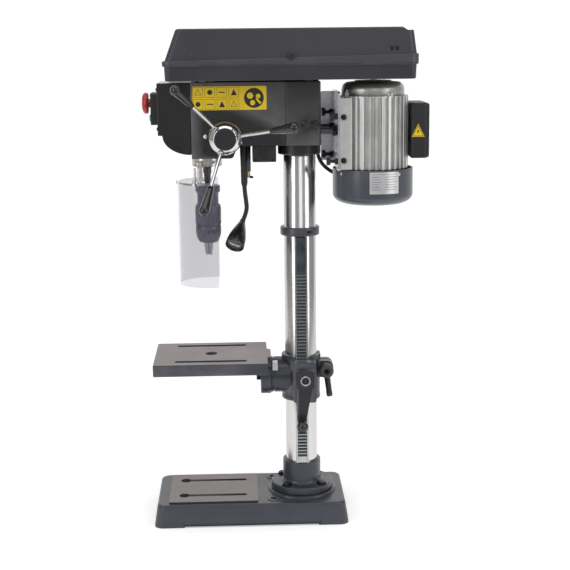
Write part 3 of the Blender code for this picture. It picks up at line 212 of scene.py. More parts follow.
def prism(outline, low, high, across="Z"):
    rings = []
    for level in (low, high):
        if across == "Z":
            rings.append([(a, b, level) for a, b in outline])
        elif across == "Y":
            rings.append([(a, level, b) for a, b in outline])
        else:
            rings.append([(level, a, b) for a, b in outline])
    return loft(rings)


def box(low, high):
    return prism(((low[0], low[1]), (high[0], low[1]), (high[0], high[1]), (low[0], high[1])), low[2],
                 high[2])


def aligned(start, direction):
    turn = Vector(direction).to_track_quat("Z", "Y")
    return Matrix.Translation(Vector(start)) @ turn.to_matrix().to_4x4()


def turned(profile, start=(0.0, 0.0, 0.0), direction=(0.0, 0.0, 1.0), steps=ROUND):
    """Turn (radius, height) points about an axis; radius 0 at an end closes it flat or to a point."""
    bm = bmesh.new()
    matrix = aligned(start, direction)
    points = list(profile)
    flat_low = points[0][0] < 1e-6 and abs(points[0][1] - points[1][1]) < 1e-6
    flat_high = points[-1][0] < 1e-6 and abs(points[-1][1] - points[-2][1]) < 1e-6
    points = points[1:] if flat_low else points
    points = points[:-1] if flat_high else points
    rings = []
    for radius, height in points:
        if radius < 1e-6:
            rings.append([bm.verts.new(matrix @ Vector((0.0, 0.0, height)))])
            continue
        ring = []
        for k in range(steps):
            angle = 2.0 * math.pi * k / steps
            point = Vector((radius * math.cos(angle), radius * math.sin(angle), height))
            ring.append(bm.verts.new(matrix @ point))
        rings.append(ring)
    pairs = list(zip(rings, rings[1:]))
    if flat_low:
        bm.faces.new(list(reversed(rings[0])))
    if flat_high:
        bm.faces.new(rings[-1])
    if not flat_low and not flat_high and len(rings[0]) > 1 and len(rings[-1]) > 1:
        pairs.append((rings[-1], rings[0]))
    for first, second in pairs:
        bridge(bm, first, second, steps)
    return bm


def bridge(bm, first, second, steps):
    for k in range(steps):
        following = (k + 1) % steps
        corners = []
        for ring, index in ((first, k), (first, following), (second, following), (second, k)):
            corner = ring[index % len(ring)]
            if corner not in corners:
                corners.append(corner)
        if len(corners) > 2:
            bm.faces.new(corners)


def rod(start, end, radius, end_radius=None, steps=48, chamfer=0.6):
    line = Vector(end) - Vector(start)
    last = radius if end_radius is None else end_radius
    size = min(chamfer, radius / 3.0)
    length = line.length
    profile = ((0.0, 0.0), (radius - size, 0.0), (radius, size), (last, length - size),
               (last - size, length), (0.0, length))
    return turned(profile, start, line.normalized(), steps)


def pin(start, end, radius, steps=64):
    line = Vector(end) - Vector(start)
    profile = ((0.0, 0.0), (radius, 0.0), (radius, line.length), (0.0, line.length))
    return turned(profile, start, line.normalized(), steps)


def rounded(x0, x1, y0, y1, radius, steps=10):
    points = []
    corners = (
        (x1 - radius, y0 + radius, -90.0),
        (x1 - radius, y1 - radius, 0.0),
        (x0 + radius, y1 - radius, 90.0),
        (x0 + radius, y0 + radius, 180.0),
    )
    for centre_x, centre_y, start in corners:
        for k in range(steps + 1):
            angle = math.radians(start + 90.0 * k / steps)
            points.append((centre_x + radius * math.cos(angle), centre_y + radius * math.sin(angle)))
    return points


def at_height(outline, z):
    return [(x, y, z) for x, y in outline]


def hexagon(centre, direction, size, height):
    """A six-sided bolt head with a chamfered top."""
    radius = size / math.sqrt(3.0)
    cut = radius * 0.1
    profile = ((0.0, 0.0), (radius, 0.0), (radius, height - cut), (radius - cut, height), (0.0, height))
    return turned(profile, centre, direction, 6)


def tube(path, radius, steps=24):
    rings = []
    for number, point in enumerate(path):
        before = path[max(number - 1, 0)]
        after = path[min(number + 1, len(path) - 1)]
        tangent = (after - before).normalized()
        side = Vector((0.0, 1.0, 0.0))
        up = tangent.cross(side).normalized()
        side = up.cross(tangent).normalized()
        size = radius(number / (len(path) - 1)) if callable(radius) else radius
        ring = []
        for k in range(steps):
            angle = 2.0 * math.pi * k / steps
            ring.append(point + side * size * math.cos(angle) + up * size * math.sin(angle))
        rings.append(ring)
    return loft(rings)


def smooth_route(route, pieces):
    knots = [Vector(point) for point in route]
    knots = [2.0 * knots[0] - knots[1]] + knots + [2.0 * knots[-1] - knots[-2]]
    points = []
    for p0, p1, p2, p3 in zip(knots, knots[1:], knots[2:], knots[3:]):
        for k in range(pieces):
            t = k / pieces
            slope = (p2 - p0) * t
            bend = (2.0 * p0 - 5.0 * p1 + 4.0 * p2 - p3) * t * t
            twist = (3.0 * p1 - p0 - 3.0 * p2 + p3) * t * t * t
            points.append(0.5 * (2.0 * p1 + slope + bend + twist))
    points.append(knots[-2])
    return points


def merge(*shapes):
    """Several bodies in one mesh, for pieces that are made together and move together."""
    whole = shapes[0]
    for shape in shapes[1:]:
        mesh = bpy.data.meshes.new("joined")
        shape.to_mesh(mesh)
        shape.free()
        whole.from_mesh(mesh)
        bpy.data.meshes.remove(mesh)
    return whole


def carve(item, tools, operation="DIFFERENCE"):
    """Apply one Boolean for each tool body, then drop the tools."""
    helpers = []
    for tool in tools:
        helper = raw_object("tool", tool)
        modifier = item.modifiers.new("shape", "BOOLEAN")
        modifier.operation = operation
        modifier.solver = "EXACT"
        modifier.object = helper
        helpers.append(helper)
    graph = bpy.context.evaluated_depsgraph_get()
    mesh = bpy.data.meshes.new_from_object(item.evaluated_get(graph))
    item.modifiers.clear()
    item.data = mesh
    for helper in helpers:
        bpy.data.objects.remove(helper, do_unlink=True)


def raw_object(name, bm):
    bmesh.ops.recalc_face_normals(bm, faces=bm.faces)
    bmesh.ops.translate(bm, verts=bm.verts, vec=OFFSET)
    bmesh.ops.scale(bm, verts=bm.verts, vec=(MM, MM, MM))
    mesh = bpy.data.meshes.new(name)
    bm.to_mesh(mesh)
    bm.free()
    item = bpy.data.objects.new(name, mesh)
    bpy.context.scene.collection.objects.link(item)
    return item


def dress(item, material, body, nodes=(), bevel=0.0, segments=3, angle=35.0, paint=()):
    """Give a finished shape its material, rounded edges, body and CAD nodes.

    paint lists (test, index) pairs: faces whose centre and normal pass the test take that material.
    """
    mesh = item.data
    mesh.materials.clear()
    for entry in material if isinstance(material, (list, tuple)) else (material,):
        mesh.materials.append(entry)
    for test, index in paint:
        for polygon in mesh.polygons:
            if test(polygon.center / MM - OFFSET, polygon.normal):
                polygon.material_index = index
    mesh.shade_smooth()
    if bevel:
        flat = bmesh.new()
        flat.from_mesh(mesh)
        bmesh.ops.remove_doubles(flat, verts=flat.verts, dist=1e-7)
        bmesh.ops.dissolve_limit(flat, angle_limit=0.004, verts=flat.verts, edges=flat.edges,
                                 delimit={"MATERIAL"})
        flat.to_mesh(mesh)
        flat.free()
        modifier = item.modifiers.new("edges", "BEVEL")
        modifier.width = bevel * MM
        modifier.segments = segments
        modifier.limit_method = "ANGLE"
        modifier.angle_limit = math.radians(30.0)
        weighted = item.modifiers.new("normals", "WEIGHTED_NORMAL")
        weighted.keep_sharp = True
    else:
        mesh.set_sharp_from_angle(angle=math.radians(angle))
    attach(item, body)
    if nodes:
        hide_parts(*nodes)
    return item


def piece(name, bm, material, body, nodes=(), bevel=0.0, segments=3, angle=35.0, paint=()):
    return dress(raw_object(name, bm), material, body, nodes, bevel, segments, angle, paint)


# ---------------------------------------------------------------- sizes shared by several pieces

BASE_FRONT = -281.5
BASE_REAR = 84.5
BASE_HALF_WIDTH = 92.0
BASE_TOP = 42.5
PAD_TOP = 45.5
COLUMN_BORE = 30.4
SPINDLE_X = -170.0
HEAD_FRONT = -196.0
HEAD_TOP = 823.5
HEAD_HALF_WIDTH = 52.0
COVER_FRONT = -239.9
COVER_REAR = 204.5
COVER_HALF_WIDTH = 100.0
COVER_CORNER = 12.0
SEAM_Z = 855.5
RIM_FRONT_HEIGHT = 7.0
RIM_REAR_HEIGHT = 16.5
COVER_TOP = 918.0
FEED_X = -135.0
FEED_Z = 726.0
FEED_TILT = math.radians(41.2)
FEED_START_ANGLE = math.radians(12.0)
FEED_APEX_Y = -68.8
HUB_FRONT_Y = -95.0
HUB_BACK_Y = -68.5
MOTOR_X = 136.0
MOTOR_LOW = 664.5
MOTOR_HIGH = 796.0
COWL_RADIUS = 74.2
COWL_BOTTOM = 598.0
PLATE_X = 66.0
BAR_Y = 44.5
BAR_Z = 735.0
TILT_Z = 271.0
TABLE_TOP = 313.7
CRANK_X = 4.0
CRANK_Z = 282.0
LOCK_X = 47.0
LOCK_Z = 283.0
IDLER_X = -30.0
STEM_X = -95.5
PULLEY_BOTTOM = 834.0
STEP_HEIGHT = 12.0
BACK = (0.0, 1.0, 0.0)
FRONT = (0.0, -1.0, 0.0)
RIGHT = (1.0, 0.0, 0.0)
LEFT = (-1.0, 0.0, 0.0)
UP = (0.0, 0.0, 1.0)
DOWN = (0.0, 0.0, -1.0)


def faces_up(low, high):
    return lambda centre, normal: normal.z > 0.9 and low < centre.z < high


# ---------------------------------------------------------------- base and column

def base_outline(inset):
    return rounded(
        BASE_FRONT + inset,
        BASE_REAR - inset,
        -BASE_HALF_WIDTH + inset,
        BASE_HALF_WIDTH - inset,
        16.0,
        12,
    )


def build_base():
    levels = ((0.8, 0.0), (0.1, 0.8), (0.0, 2.0), (0.5, 6.0), (5.2, 36.5), (5.6, 38.6), (6.4, 40.6),
              (7.6, 41.9))
    outlines = [at_height(base_outline(inset), z) for inset, z in levels]
    outlines.append(at_height(base_outline(9.4), BASE_TOP))
    item = raw_object("base_casting", loft(outlines))
    pad = prism(rounded(-254.0, -86.0, -75.5, 75.5, 3.0, 4), 38.0, PAD_TOP)
    seat = turned(((0.0, 30.0), (66.0, 30.0), (66.0, 43.0), (65.0, 45.0), (62.5, 46.5), (0.0, 46.5)))
    bosses = []
    holes = []
    for side in (-1.0, 1.0):
        centre = (-56.0, side * 61.0, 0.0)
        bosses.append(turned(((0.0, 38.0), (13.0, 38.0), (13.0, 42.6), (11.6, 44.0), (0.0, 44.0)), centre,
                             UP, 64))
        holes.append(turned(((0.0, 20.0), (5.5, 20.0), (5.5, 43.0), (7.0, 44.6), (7.0, 50.0),
                             (0.0, 50.0)), centre))
    carve(item, [pad, seat] + bosses, "UNION")
    hollow = loft((at_height(base_outline(8.0), -1.0), at_height(base_outline(14.5), 34.5)))
    cuts = [hollow]
    cuts.append(box((BASE_FRONT + 57.0, -97.0, -2.0), (BASE_REAR - 57.0, 97.0, 3.0)))
    cuts.append(box((BASE_FRONT - 5.0, -47.0, -2.0), (BASE_REAR + 5.0, 47.0, 3.0)))
    for side in (-1.0, 1.0):
        y = side * 41.0
        cuts.append(prism(rounded(-228.0, -107.0, y - 5.0, y + 5.0, 4.9, 8), 20.0, 60.0))
        cuts.append(pin((-226.0, y, 20.0), (-226.0, y, 60.0), 10.0))
        recess = ((-226.0, 3.5), (31.0, 3.5), (36.0, 18.0), (-231.0, 18.0))
        cuts.append(prism(recess, side * 89.4, side * 99.0, "Y"))
    carve(item, cuts + holes)
    dress(
        item,
        (BLUE, GROUND),
        "frame",
        ("base",),
        0.55,
        2,
        paint=((faces_up(PAD_TOP - 0.2, PAD_TOP + 0.2), 1),),
    )


def build_flange():
    profile = (
        (COLUMN_BORE, 46.8),
        (58.0, 46.8),
        (59.0, 47.8),
        (59.0, 57.0),
        (58.4, 58.8),
        (57.0, 60.0),
        (43.0, 60.0),
        (39.6, 61.2),
        (37.2, 63.6),
        (36.0, 67.5),
        (36.0, 101.8),
        (35.4, 103.4),
        (33.8, 104.0),
        (COLUMN_BORE, 104.0),
    )
    item = raw_object("column_foot", turned(profile))
    places = []
    for degrees in (-130.0, -40.0, 50.0, 140.0):
        angle = math.radians(degrees)
        places.append((47.5 * math.cos(angle), 47.5 * math.sin(angle), 0.0))
    pockets = [pin((x, y, 57.4), (x, y, 75.0), 9.6) for x, y, z in places]
    carve(item, pockets)
    dress(item, BLUE, "frame", ("column_flange",), 0.5, 2)
    for number, (x, y, z) in enumerate(places):
        washer = turned(((0.0, 0.0), (8.4, 0.0), (8.4, 1.2), (0.0, 1.2)), (x, y, 57.5))
        piece("flange_washer_%d" % (number + 1), washer, OXIDE, "frame")
        bolt = hexagon((x, y, 58.6), UP, 13.0, 6.4)
        piece("flange_bolt_%d" % (number + 1), bolt, OXIDE, "frame")


def build_column():
    profile = (
        (27.0, 47.0),
        (30.0, 47.0),
        (30.0, 799.0),
        (29.4, 800.0),
        (27.0, 800.0),
    )
    piece("column_tube", turned(profile, steps=128), COLUMN, "frame", ("column",))
    profile = (
        (COLUMN_BORE, 540.5),
        (35.3, 540.5),
        (36.5, 541.7),
        (36.5, 554.4),
        (36.0, 555.8),
        (34.8, 556.5),
        (COLUMN_BORE, 556.5),
    )
    item = raw_object("upper_ring", turned(profile))
    carve(item, [pin((20.0, -60.0, 548.5), (14.0, -30.0, 548.5), 3.2)])
    dress(item, BLUE, "frame", ("rack_ring",))
    piece("ring_set_screw", set_screw((18.9, -30.4, 548.5), (0.2, -1.0, 0.0), 3.0, 3.6), DARK, "frame")


def set_screw(start, direction, radius, length):
    """A headless screw with a hexagon socket in its outer end."""
    bore = radius * 0.55
    profile = (
        (0.0, 0.0),
        (radius, 0.0),
        (radius, length - 0.4),
        (radius - 0.4, length),
        (bore, length),
        (bore, length - 1.2),
        (0.0, length - 1.2),
    )
    return turned(profile, start, Vector(direction).normalized(), 32)


def cap_screw(start, direction, radius, length):
    """A pan-head screw with a cross recess cut by two slots."""
    profile = [(0.0, 0.0), (radius, 0.0), (radius, length * 0.45)]
    for k in range(1, 6):
        angle = math.radians(90.0 * k / 5.0)
        rise = length * (0.45 + 0.55 * math.sin(angle))
        profile.append((radius * math.cos(angle) if k < 5 else 0.0, rise))
    return turned(profile, start, Vector(direction).normalized(), 32)


def build_rack():
    top = 539.5
    outline = [(-30.6, top), (-30.6, 105.0), (-36.4, 105.0)]
    first = 117.0
    pitch = 2.0 * math.pi
    for number in range(56):
        z = first + number * pitch
        outline += [(-36.4, z), (-40.0, z + 1.0), (-40.2, z + 1.4), (-40.2, z + 3.0), (-40.0, z + 3.4),
                    (-36.4, z + 4.4)]
    plain = first + 56 * pitch
    outline += [(-36.4, plain), (-40.2, plain + 1.2), (-40.2, top)]
    item = raw_object("rack_bar", prism(outline, -8.2, 8.2, "X"))
    # Teeth and the plain front keep the dark rack steel; the sides and back take the painted highlight.
    dark = (lambda centre, normal: centre.y < -36.6 or (centre.z > plain and normal.y < -0.5), 1)
    dress(item, (RACK_PAINTED_HIGHLIGHT, RACK), "rack", ("rack",), paint=(dark,))
    # The side strips are wholly in the painted highlight.
    for side in (-1.0, 1.0):
        inner = side * 8.3
        outer = side * 12.0
        low = min(inner, outer)
        high = max(inner, outer)
        section = ((low + 0.5, -38.6), (high - 0.5, -38.6), (high, -38.1), (high, -30.6), (low, -30.6),
                   (low, -38.1))
        piece("rack_side_%s" % ("left" if side < 0 else "right"), prism(section, 105.0, top), RACK_PAINTED_HIGHLIGHT,
              "rack")


# ---------------------------------------------------------------- head and switch

def build_head():
    side = (
        (HEAD_FRONT, 688.0),
        (-125.0, 688.0),
        (-121.0, 690.5),
        (-113.5, 707.5),
        (-110.0, 710.0),
        (37.0, 710.0),
        (37.0, HEAD_TOP),
        (HEAD_FRONT, HEAD_TOP),
    )
    item = raw_object("head_casting", prism(side, -HEAD_HALF_WIDTH, HEAD_HALF_WIDTH, "Y"))
    rear_block = raw_object("head_rear", prism(rounded(-27.0, 37.0, -54.0, 54.0, 4.0, 8), 710.0, HEAD_TOP))
    collar = turned(
        ((0.0, 691.0), (38.3, 691.0), (39.5, 692.2), (39.5, 708.0), (41.5, 714.0), (0.0, 714.0))
    )
    feed_boss = pin((FEED_X, -53.4, FEED_Z), (FEED_X, 10.0, FEED_Z), 31.0)
    carve(item, [collar, feed_boss], "UNION")
    cavity = prism(rounded(-188.0, -45.0, -44.0, 44.0, 5.0, 6), 718.0, 840.0)
    carve(item, [cavity])
    quill_tube = pin((SPINDLE_X, 0.0, 697.0), (SPINDLE_X, 0.0, 790.0), 25.9)
    carve(item, [quill_tube], "UNION")
    bores = [
        pin((SPINDLE_X, 0.0, 680.0), (SPINDLE_X, 0.0, 840.0), 22.4),
        pin((0.0, 0.0, 680.0), (0.0, 0.0, 800.3), COLUMN_BORE),
        pin((FEED_X, -70.0, FEED_Z), (FEED_X, 70.0, FEED_Z), 9.4),
        pin((-170.4, -60.0, 728.5), (-170.4, -50.2, 728.5), 5.0),
    ]
    for y in (-BAR_Y, BAR_Y):
        bores.append(pin((-26.0, y, BAR_Z), (46.0, y, BAR_Z), 6.4))
    rear_bores = [pin((0.0, 0.0, 700.0), (0.0, 0.0, 800.3), COLUMN_BORE)]
    for y in (-BAR_Y, BAR_Y):
        rear_bores.append(pin((-30.0, y, BAR_Z), (46.0, y, BAR_Z), 6.4))
    carve(rear_block, rear_bores)
    dress(rear_block, HEAD, "frame", (), 0.8, 3)
    carve(item, bores)
    dress(item, HEAD, "frame", ("head",), 1.1, 3)
    for number, (x, z) in enumerate(((-158.0, 702.0), (-172.0, 702.0))):
        start = (x, -49.5, z)
        piece("head_plug_%d" % (number + 1), set_screw(start, FRONT, 3.0, 2.9), OXIDE, "frame")


def build_pointer():
    """The bright screw beside the feed hub, with its rounded head."""
    head = []
    for k in range(8):
        angle = math.radians(90.0 * k / 7.0)
        head.append((4.9 * math.cos(angle) if k < 7 else 0.0, 3.2 + 4.4 * math.sin(angle)))
    profile = [(0.0, 0.0), (3.2, 0.0), (3.2, 2.2), (4.9, 2.4)] + head
    piece("pointer_screw", turned(profile, (-170.4, -52.4, 728.5), FRONT, 40), SCREW, "frame")
    nut = hexagon((-170.4, -50.4, 728.5), FRONT, 8.0, 2.4)
    piece("pointer_nut", nut, SCREW, "frame")


def label_mark(number, x, z, size):
    """One cell of the label: a thin frame with a plain mark in it."""
    y = -52.62
    bar = 0.45
    parts = []
    for low, high in (
        ((x - size, z - size), (x + size, z - size + bar)),
        ((x - size, z + size - bar), (x + size, z + size)),
        ((x - size, z - size), (x - size + bar, z + size)),
        ((x + size - bar, z - size), (x + size, z + size)),
    ):
        parts.append(box((low[0], y, low[1]), (high[0], y + 0.2, high[1])))
    inner = size * 0.62
    kind = number % 4
    if kind == 0:
        parts += triangle_ring(x, z, inner, y)
    elif kind == 1:
        parts.append(turned(((0.0, 0.0), (inner * 0.8, 0.0), (inner * 0.8, 0.2), (0.0, 0.2)), (x, y, z),
                            BACK, 32))
    elif kind == 2:
        parts.append(box((x - inner, y, z - 1.0), (x + inner, y + 0.2, z + 1.0)))
    else:
        parts.append(prism(((x - inner, z - inner), (x + inner, z - inner), (x, z + inner)), y, y + 0.2,
                           "Y"))
    return merge(*parts)


def triangle_ring(x, z, size, y):
    """The three sides of an upright triangle, each a thin bar."""
    corners = [Vector((x - size, y, z - size * 0.8)), Vector((x + size, y, z - size * 0.8)),
               Vector((x, y, z + size))]
    bars = []
    for first, second in zip(corners, corners[1:] + corners[:1]):
        along = (second - first).normalized()
        across = Vector((-along.z, 0.0, along.x)) * 0.35
        outline = [first - across, second - across, second + across, first + across]
        bars.append(prism([(p.x, p.z) for p in outline], y, y + 0.2, "Y"))
    return bars


def build_label():
    plate = prism(rounded(-192.5, -60.0, 775.0, 817.0, 2.0, 4), -52.45, -52.05, "Y")
    piece("label_plate", plate, YELLOW, "frame")
    cells = []
    for row in range(2):
        for column in range(4):
            x = -182.5 + 21.4 * column
            z = 806.5 - 21.0 * row
            cells.append(label_mark(row + column, x, z, 9.0))
    piece("label_cells", merge(*cells), LABEL_INK, "frame")
    disc = turned(((0.0, 0.0), (17.6, 0.0), (17.6, 0.2), (0.0, 0.2)), (-82.5, -52.62, 796.0), BACK)
    piece("label_disc", disc, LABEL_INK, "frame")
    shapes = []
    for x, z, radius in ((-89.5, 800.0, 5.6), (-75.0, 799.0, 4.2), (-85.0, 787.5, 4.6)):
        shapes.append(turned(((0.0, 0.0), (radius, 0.0), (radius, 0.2), (0.0, 0.2)), (x, -52.8, z), BACK,
                             32))
    shapes.append(prism(((-80.0, 794.0), (-72.0, 785.0), (-69.5, 787.5), (-77.0, 796.0)), -52.8, -52.6,
                        "Y"))
    piece("label_shapes", merge(*shapes), YELLOW, "frame")


def build_switch_housing():
    rear = HEAD_FRONT - 0.3
    curve = []
    for k in range(25):
        angle = math.radians(90.0 * k / 24.0)
        curve.append((rear - 51.7 * math.sin(angle), 730.0 - 35.0 * math.cos(angle)))
    outer = curve + [(-256.0, 730.0), (-256.0, HEAD_TOP), (rear, HEAD_TOP)]
    item = raw_object("switch_shell", prism(outer, -50.0, 50.0, "Y"))
    carve(item, [box((-253.0, -47.0, 736.0), (-191.0, 47.0, 820.0))])
    dress(item, GLOSS, "frame", ("switch_housing",), 1.4, 3)
    for number, (y, z) in enumerate(((-43.0, 742.0), (43.0, 742.0), (-43.0, 812.0), (43.0, 812.0))):
        screw = cap_screw((-255.9, y, z), LEFT, 3.4, 2.4)
        piece("housing_screw_%d" % (number + 1), screw, OXIDE, "frame")


def build_switch():
    outline = rounded(-31.0, 31.0, 748.0, 805.0, 4.0, 8)
    item = raw_object("switch_case", prism(outline, -269.0, -256.3, "X"))
    holes = [
        pin((-271.0, 0.0, 786.0), (-260.0, 0.0, 786.0), 8.5),
        pin((-271.0, 0.0, 759.0), (-260.0, 0.0, 759.0), 7.2),
    ]
    carve(item, holes)
    dress(item, PLASTIC, "frame", ("switch_box",), 1.2, 3)
    for number, (y, z) in enumerate(((-25.0, 752.5), (25.0, 752.5), (-25.0, 800.5), (25.0, 800.5))):
        piece("switch_screw_%d" % (number + 1), cap_screw((-268.9, y, z), LEFT, 2.4, 1.5), SCREW, "frame")
    ring = turned(((7.3, 0.0), (9.4, 0.0), (9.4, 0.4), (9.0, 0.7), (7.3, 0.7)), (-269.0, 0.0, 759.0), LEFT)
    piece("start_ring", ring, PLASTIC, "frame")
    stop = (
        (0.0, 0.0),
        (9.0, 0.1),
        (13.5, 0.8),
        (17.0, 2.4),
        (18.9, 4.8),
        (19.5, 7.6),
        (19.1, 9.8),
        (17.6, 11.6),
        (15.0, 12.0),
        (8.0, 12.0),
        (8.0, 21.0),
        (0.0, 21.0),
    )
    piece("stop_mushroom", turned(stop, (-286.0, 0.0, 786.0), RIGHT), RED, "stop_button",
          ("stop_button",))
    arrows = []
    for k in range(3):
        middle = math.radians(90.0 + 120.0 * k)
        points = []
        for share, radius in ((-0.32, 10.6), (0.18, 10.6), (0.18, 9.6), (0.42, 11.3), (0.18, 13.0),
                              (0.18, 12.0), (-0.32, 12.0)):
            points.append((radius * math.cos(middle + share), 786.0 + radius * math.sin(middle + share)))
        arrows.append(prism(points, -286.0, -284.2, "X"))
    piece("stop_arrows", merge(*arrows), WHITE, "stop_button")
    start = ((0.0, 0.0), (5.2, 0.0), (6.3, 0.4), (6.8, 1.4), (6.8, 9.0), (0.0, 9.0))
    piece("start_cap", turned(start, (-273.0, 0.0, 759.0), RIGHT), GREEN, "start_button",
          ("start_button",))


# ---------------------------------------------------------------- belt cover

def cover_outline(rise, inset=0.0):
    """The cover's plan outline: rise 0 is the seam and 1 is the top."""
    front = COVER_FRONT + 22.4 * rise + inset
    rear = COVER_REAR - 6.0 * rise - inset
    half = COVER_HALF_WIDTH - 7.0 * rise - inset
    return rounded(front, rear, -half, half, COVER_CORNER - inset, 14)


def rim_line(outline, lift):
    """An outline set on the lid's rim top, which is low in front and high at the rear."""
    slope = (RIM_REAR_HEIGHT - RIM_FRONT_HEIGHT) / (COVER_REAR - COVER_FRONT)
    return [(x, y, SEAM_Z + RIM_FRONT_HEIGHT + slope * (x - COVER_FRONT) + lift) for x, y in outline]


def build_lid():
    low = SEAM_Z + 0.3
    rings = [at_height(cover_outline(0.0, -2.6), low), at_height(cover_outline(0.0, -3.0), low + 0.5)]
    for rise, inset, lift in ((0.0, -3.0, -0.9), (0.0, -2.5, -0.2), (0.05, -1.2, 0.1), (0.08, 0.1, 0.8)):
        rings.append(rim_line(cover_outline(rise, inset), lift))
    for k in range(7):
        angle = math.radians(90.0 * k / 6.0)
        outline = cover_outline(0.93 + 0.07 * math.sin(angle), 3.5 * (1.0 - math.cos(angle)))
        rings.append(at_height(outline, COVER_TOP - 3.5 + 3.5 * math.sin(angle)))
    item = raw_object("lid_shell", loft(rings))
    hollow = loft(
        (
            at_height(cover_outline(0.0, 3.5), SEAM_Z - 5.0),
            at_height(cover_outline(0.0, 3.5), SEAM_Z + 6.0),
            at_height(cover_outline(0.9, 4.0), COVER_TOP - 8.0),
        )
    )
    step = prism(((178.0, 930.0), (178.0, 918.5), (187.0, 912.4), (215.0, 912.4), (215.0, 930.0)), -120.0,
                 120.0, "Y")
    carve(item, [hollow, step])
    dress(item, COVER, "lid", ("belt_cover_lid",), angle=28.0)
    for number, (x0, x1) in enumerate(((-229.0, -177.0), (106.0, 139.0))):
        outline = ((x0, 857.0), (x0 + 4.0, 852.6), (x1 - 4.0, 852.6), (x1, 857.0), (x1, 859.5), (x0, 859.5))
        piece("lid_tab_%d" % (number + 1), prism(outline, -102.9, -101.4, "Y"), COVER, "lid",
              bevel=0.4)
    knob = ((0.0, 0.0), (4.2, 0.0), (4.2, 2.0), (6.6, 2.4), (7.4, 3.2), (7.4, 6.6), (6.6, 7.6),
            (2.6, 8.0), (2.2, 7.2), (0.0, 7.2))
    piece("lid_knob", turned(knob, (-17.0, -98.0, 870.0), FRONT, 40), PLASTIC, "lid")
    pip = ((0.0, 0.0), (2.4, 0.0), (2.2, 1.2), (1.4, 1.9), (0.0, 2.1))
    piece("lid_pip", turned(pip, (-190.0, -98.2, 871.0), FRONT, 32), COVER, "lid")
    for number, x in enumerate((156.0, 165.0)):
        clip = prism(rounded(x, x + 6.0, 876.5, 885.0, 1.0, 3), -98.6, -96.6, "Y")
        piece("lid_clip_%d" % (number + 1), clip, OXIDE, "lid")
    for number, x in enumerate((-205.0, -60.0, 80.0, 160.0)):
        bar = box((x, -92.0, COVER_TOP - 11.0), (x + 2.4, 86.0, COVER_TOP - 7.6))
        piece("lid_rib_%d" % (number + 1), bar, COVER, "lid", bevel=0.4)


def build_tray():
    levels = [(3.5, 828.0), (2.2, 828.5), (1.5, 830.0), (0.7, 852.6), (0.2, 853.3), (-2.6, 853.9),
              (-3.0, 854.3)]
    levels += [(-3.0, 855.1), (-2.6, 855.5)]
    item = raw_object("tray_shell", loft([at_height(cover_outline(0.0, inset), z) for inset, z in levels]))
    bosses = []
    for x in (-160.0, 15.0):
        for y in (-40.0, 40.0):
            bosses.append(pin((x, y, 823.8), (x, y, 831.0), 8.0, 32))
    carve(item, bosses, "UNION")
    hollow = loft((at_height(cover_outline(0.0, 5.0), 831.5), at_height(cover_outline(0.0, 4.0), 863.0)))
    cuts = [
        hollow,
        pin((SPINDLE_X, 0.0, 800.0), (SPINDLE_X, 0.0, 850.0), 16.0),
        pin((IDLER_X, 0.0, 800.0), (IDLER_X, 0.0, 850.0), 9.0),
        prism(rounded(MOTOR_X - 34.0, MOTOR_X + 12.0, -12.0, 12.0, 11.9, 12), 800.0, 850.0),
    ]
    carve(item, cuts)
    dress(item, COVER, "frame", ("belt_tray",), angle=28.0)
    for number, (x, y) in enumerate(((-160.0, -40.0), (-160.0, 40.0), (15.0, -40.0), (15.0, 40.0))):
        bolt = hexagon((x, y, 831.4), UP, 10.0, 4.0)
        piece("tray_bolt_%d" % (number + 1), bolt, SCREW, "frame")


# ---------------------------------------------------------------- pulleys and belts

def groove_profile(steps, bottom):
    points = []
    for number, radius in enumerate(steps):
        z = bottom + number * STEP_HEIGHT
        points += [
            (radius - 0.5, z),
            (radius, z + 0.5),
            (radius, z + 1.6),
            (radius - 6.0, z + 4.0),
            (radius - 6.0, z + 8.0),
            (radius, z + 10.4),
            (radius, z + 11.5),
            (radius - 0.5, z + STEP_HEIGHT),
        ]
    return points


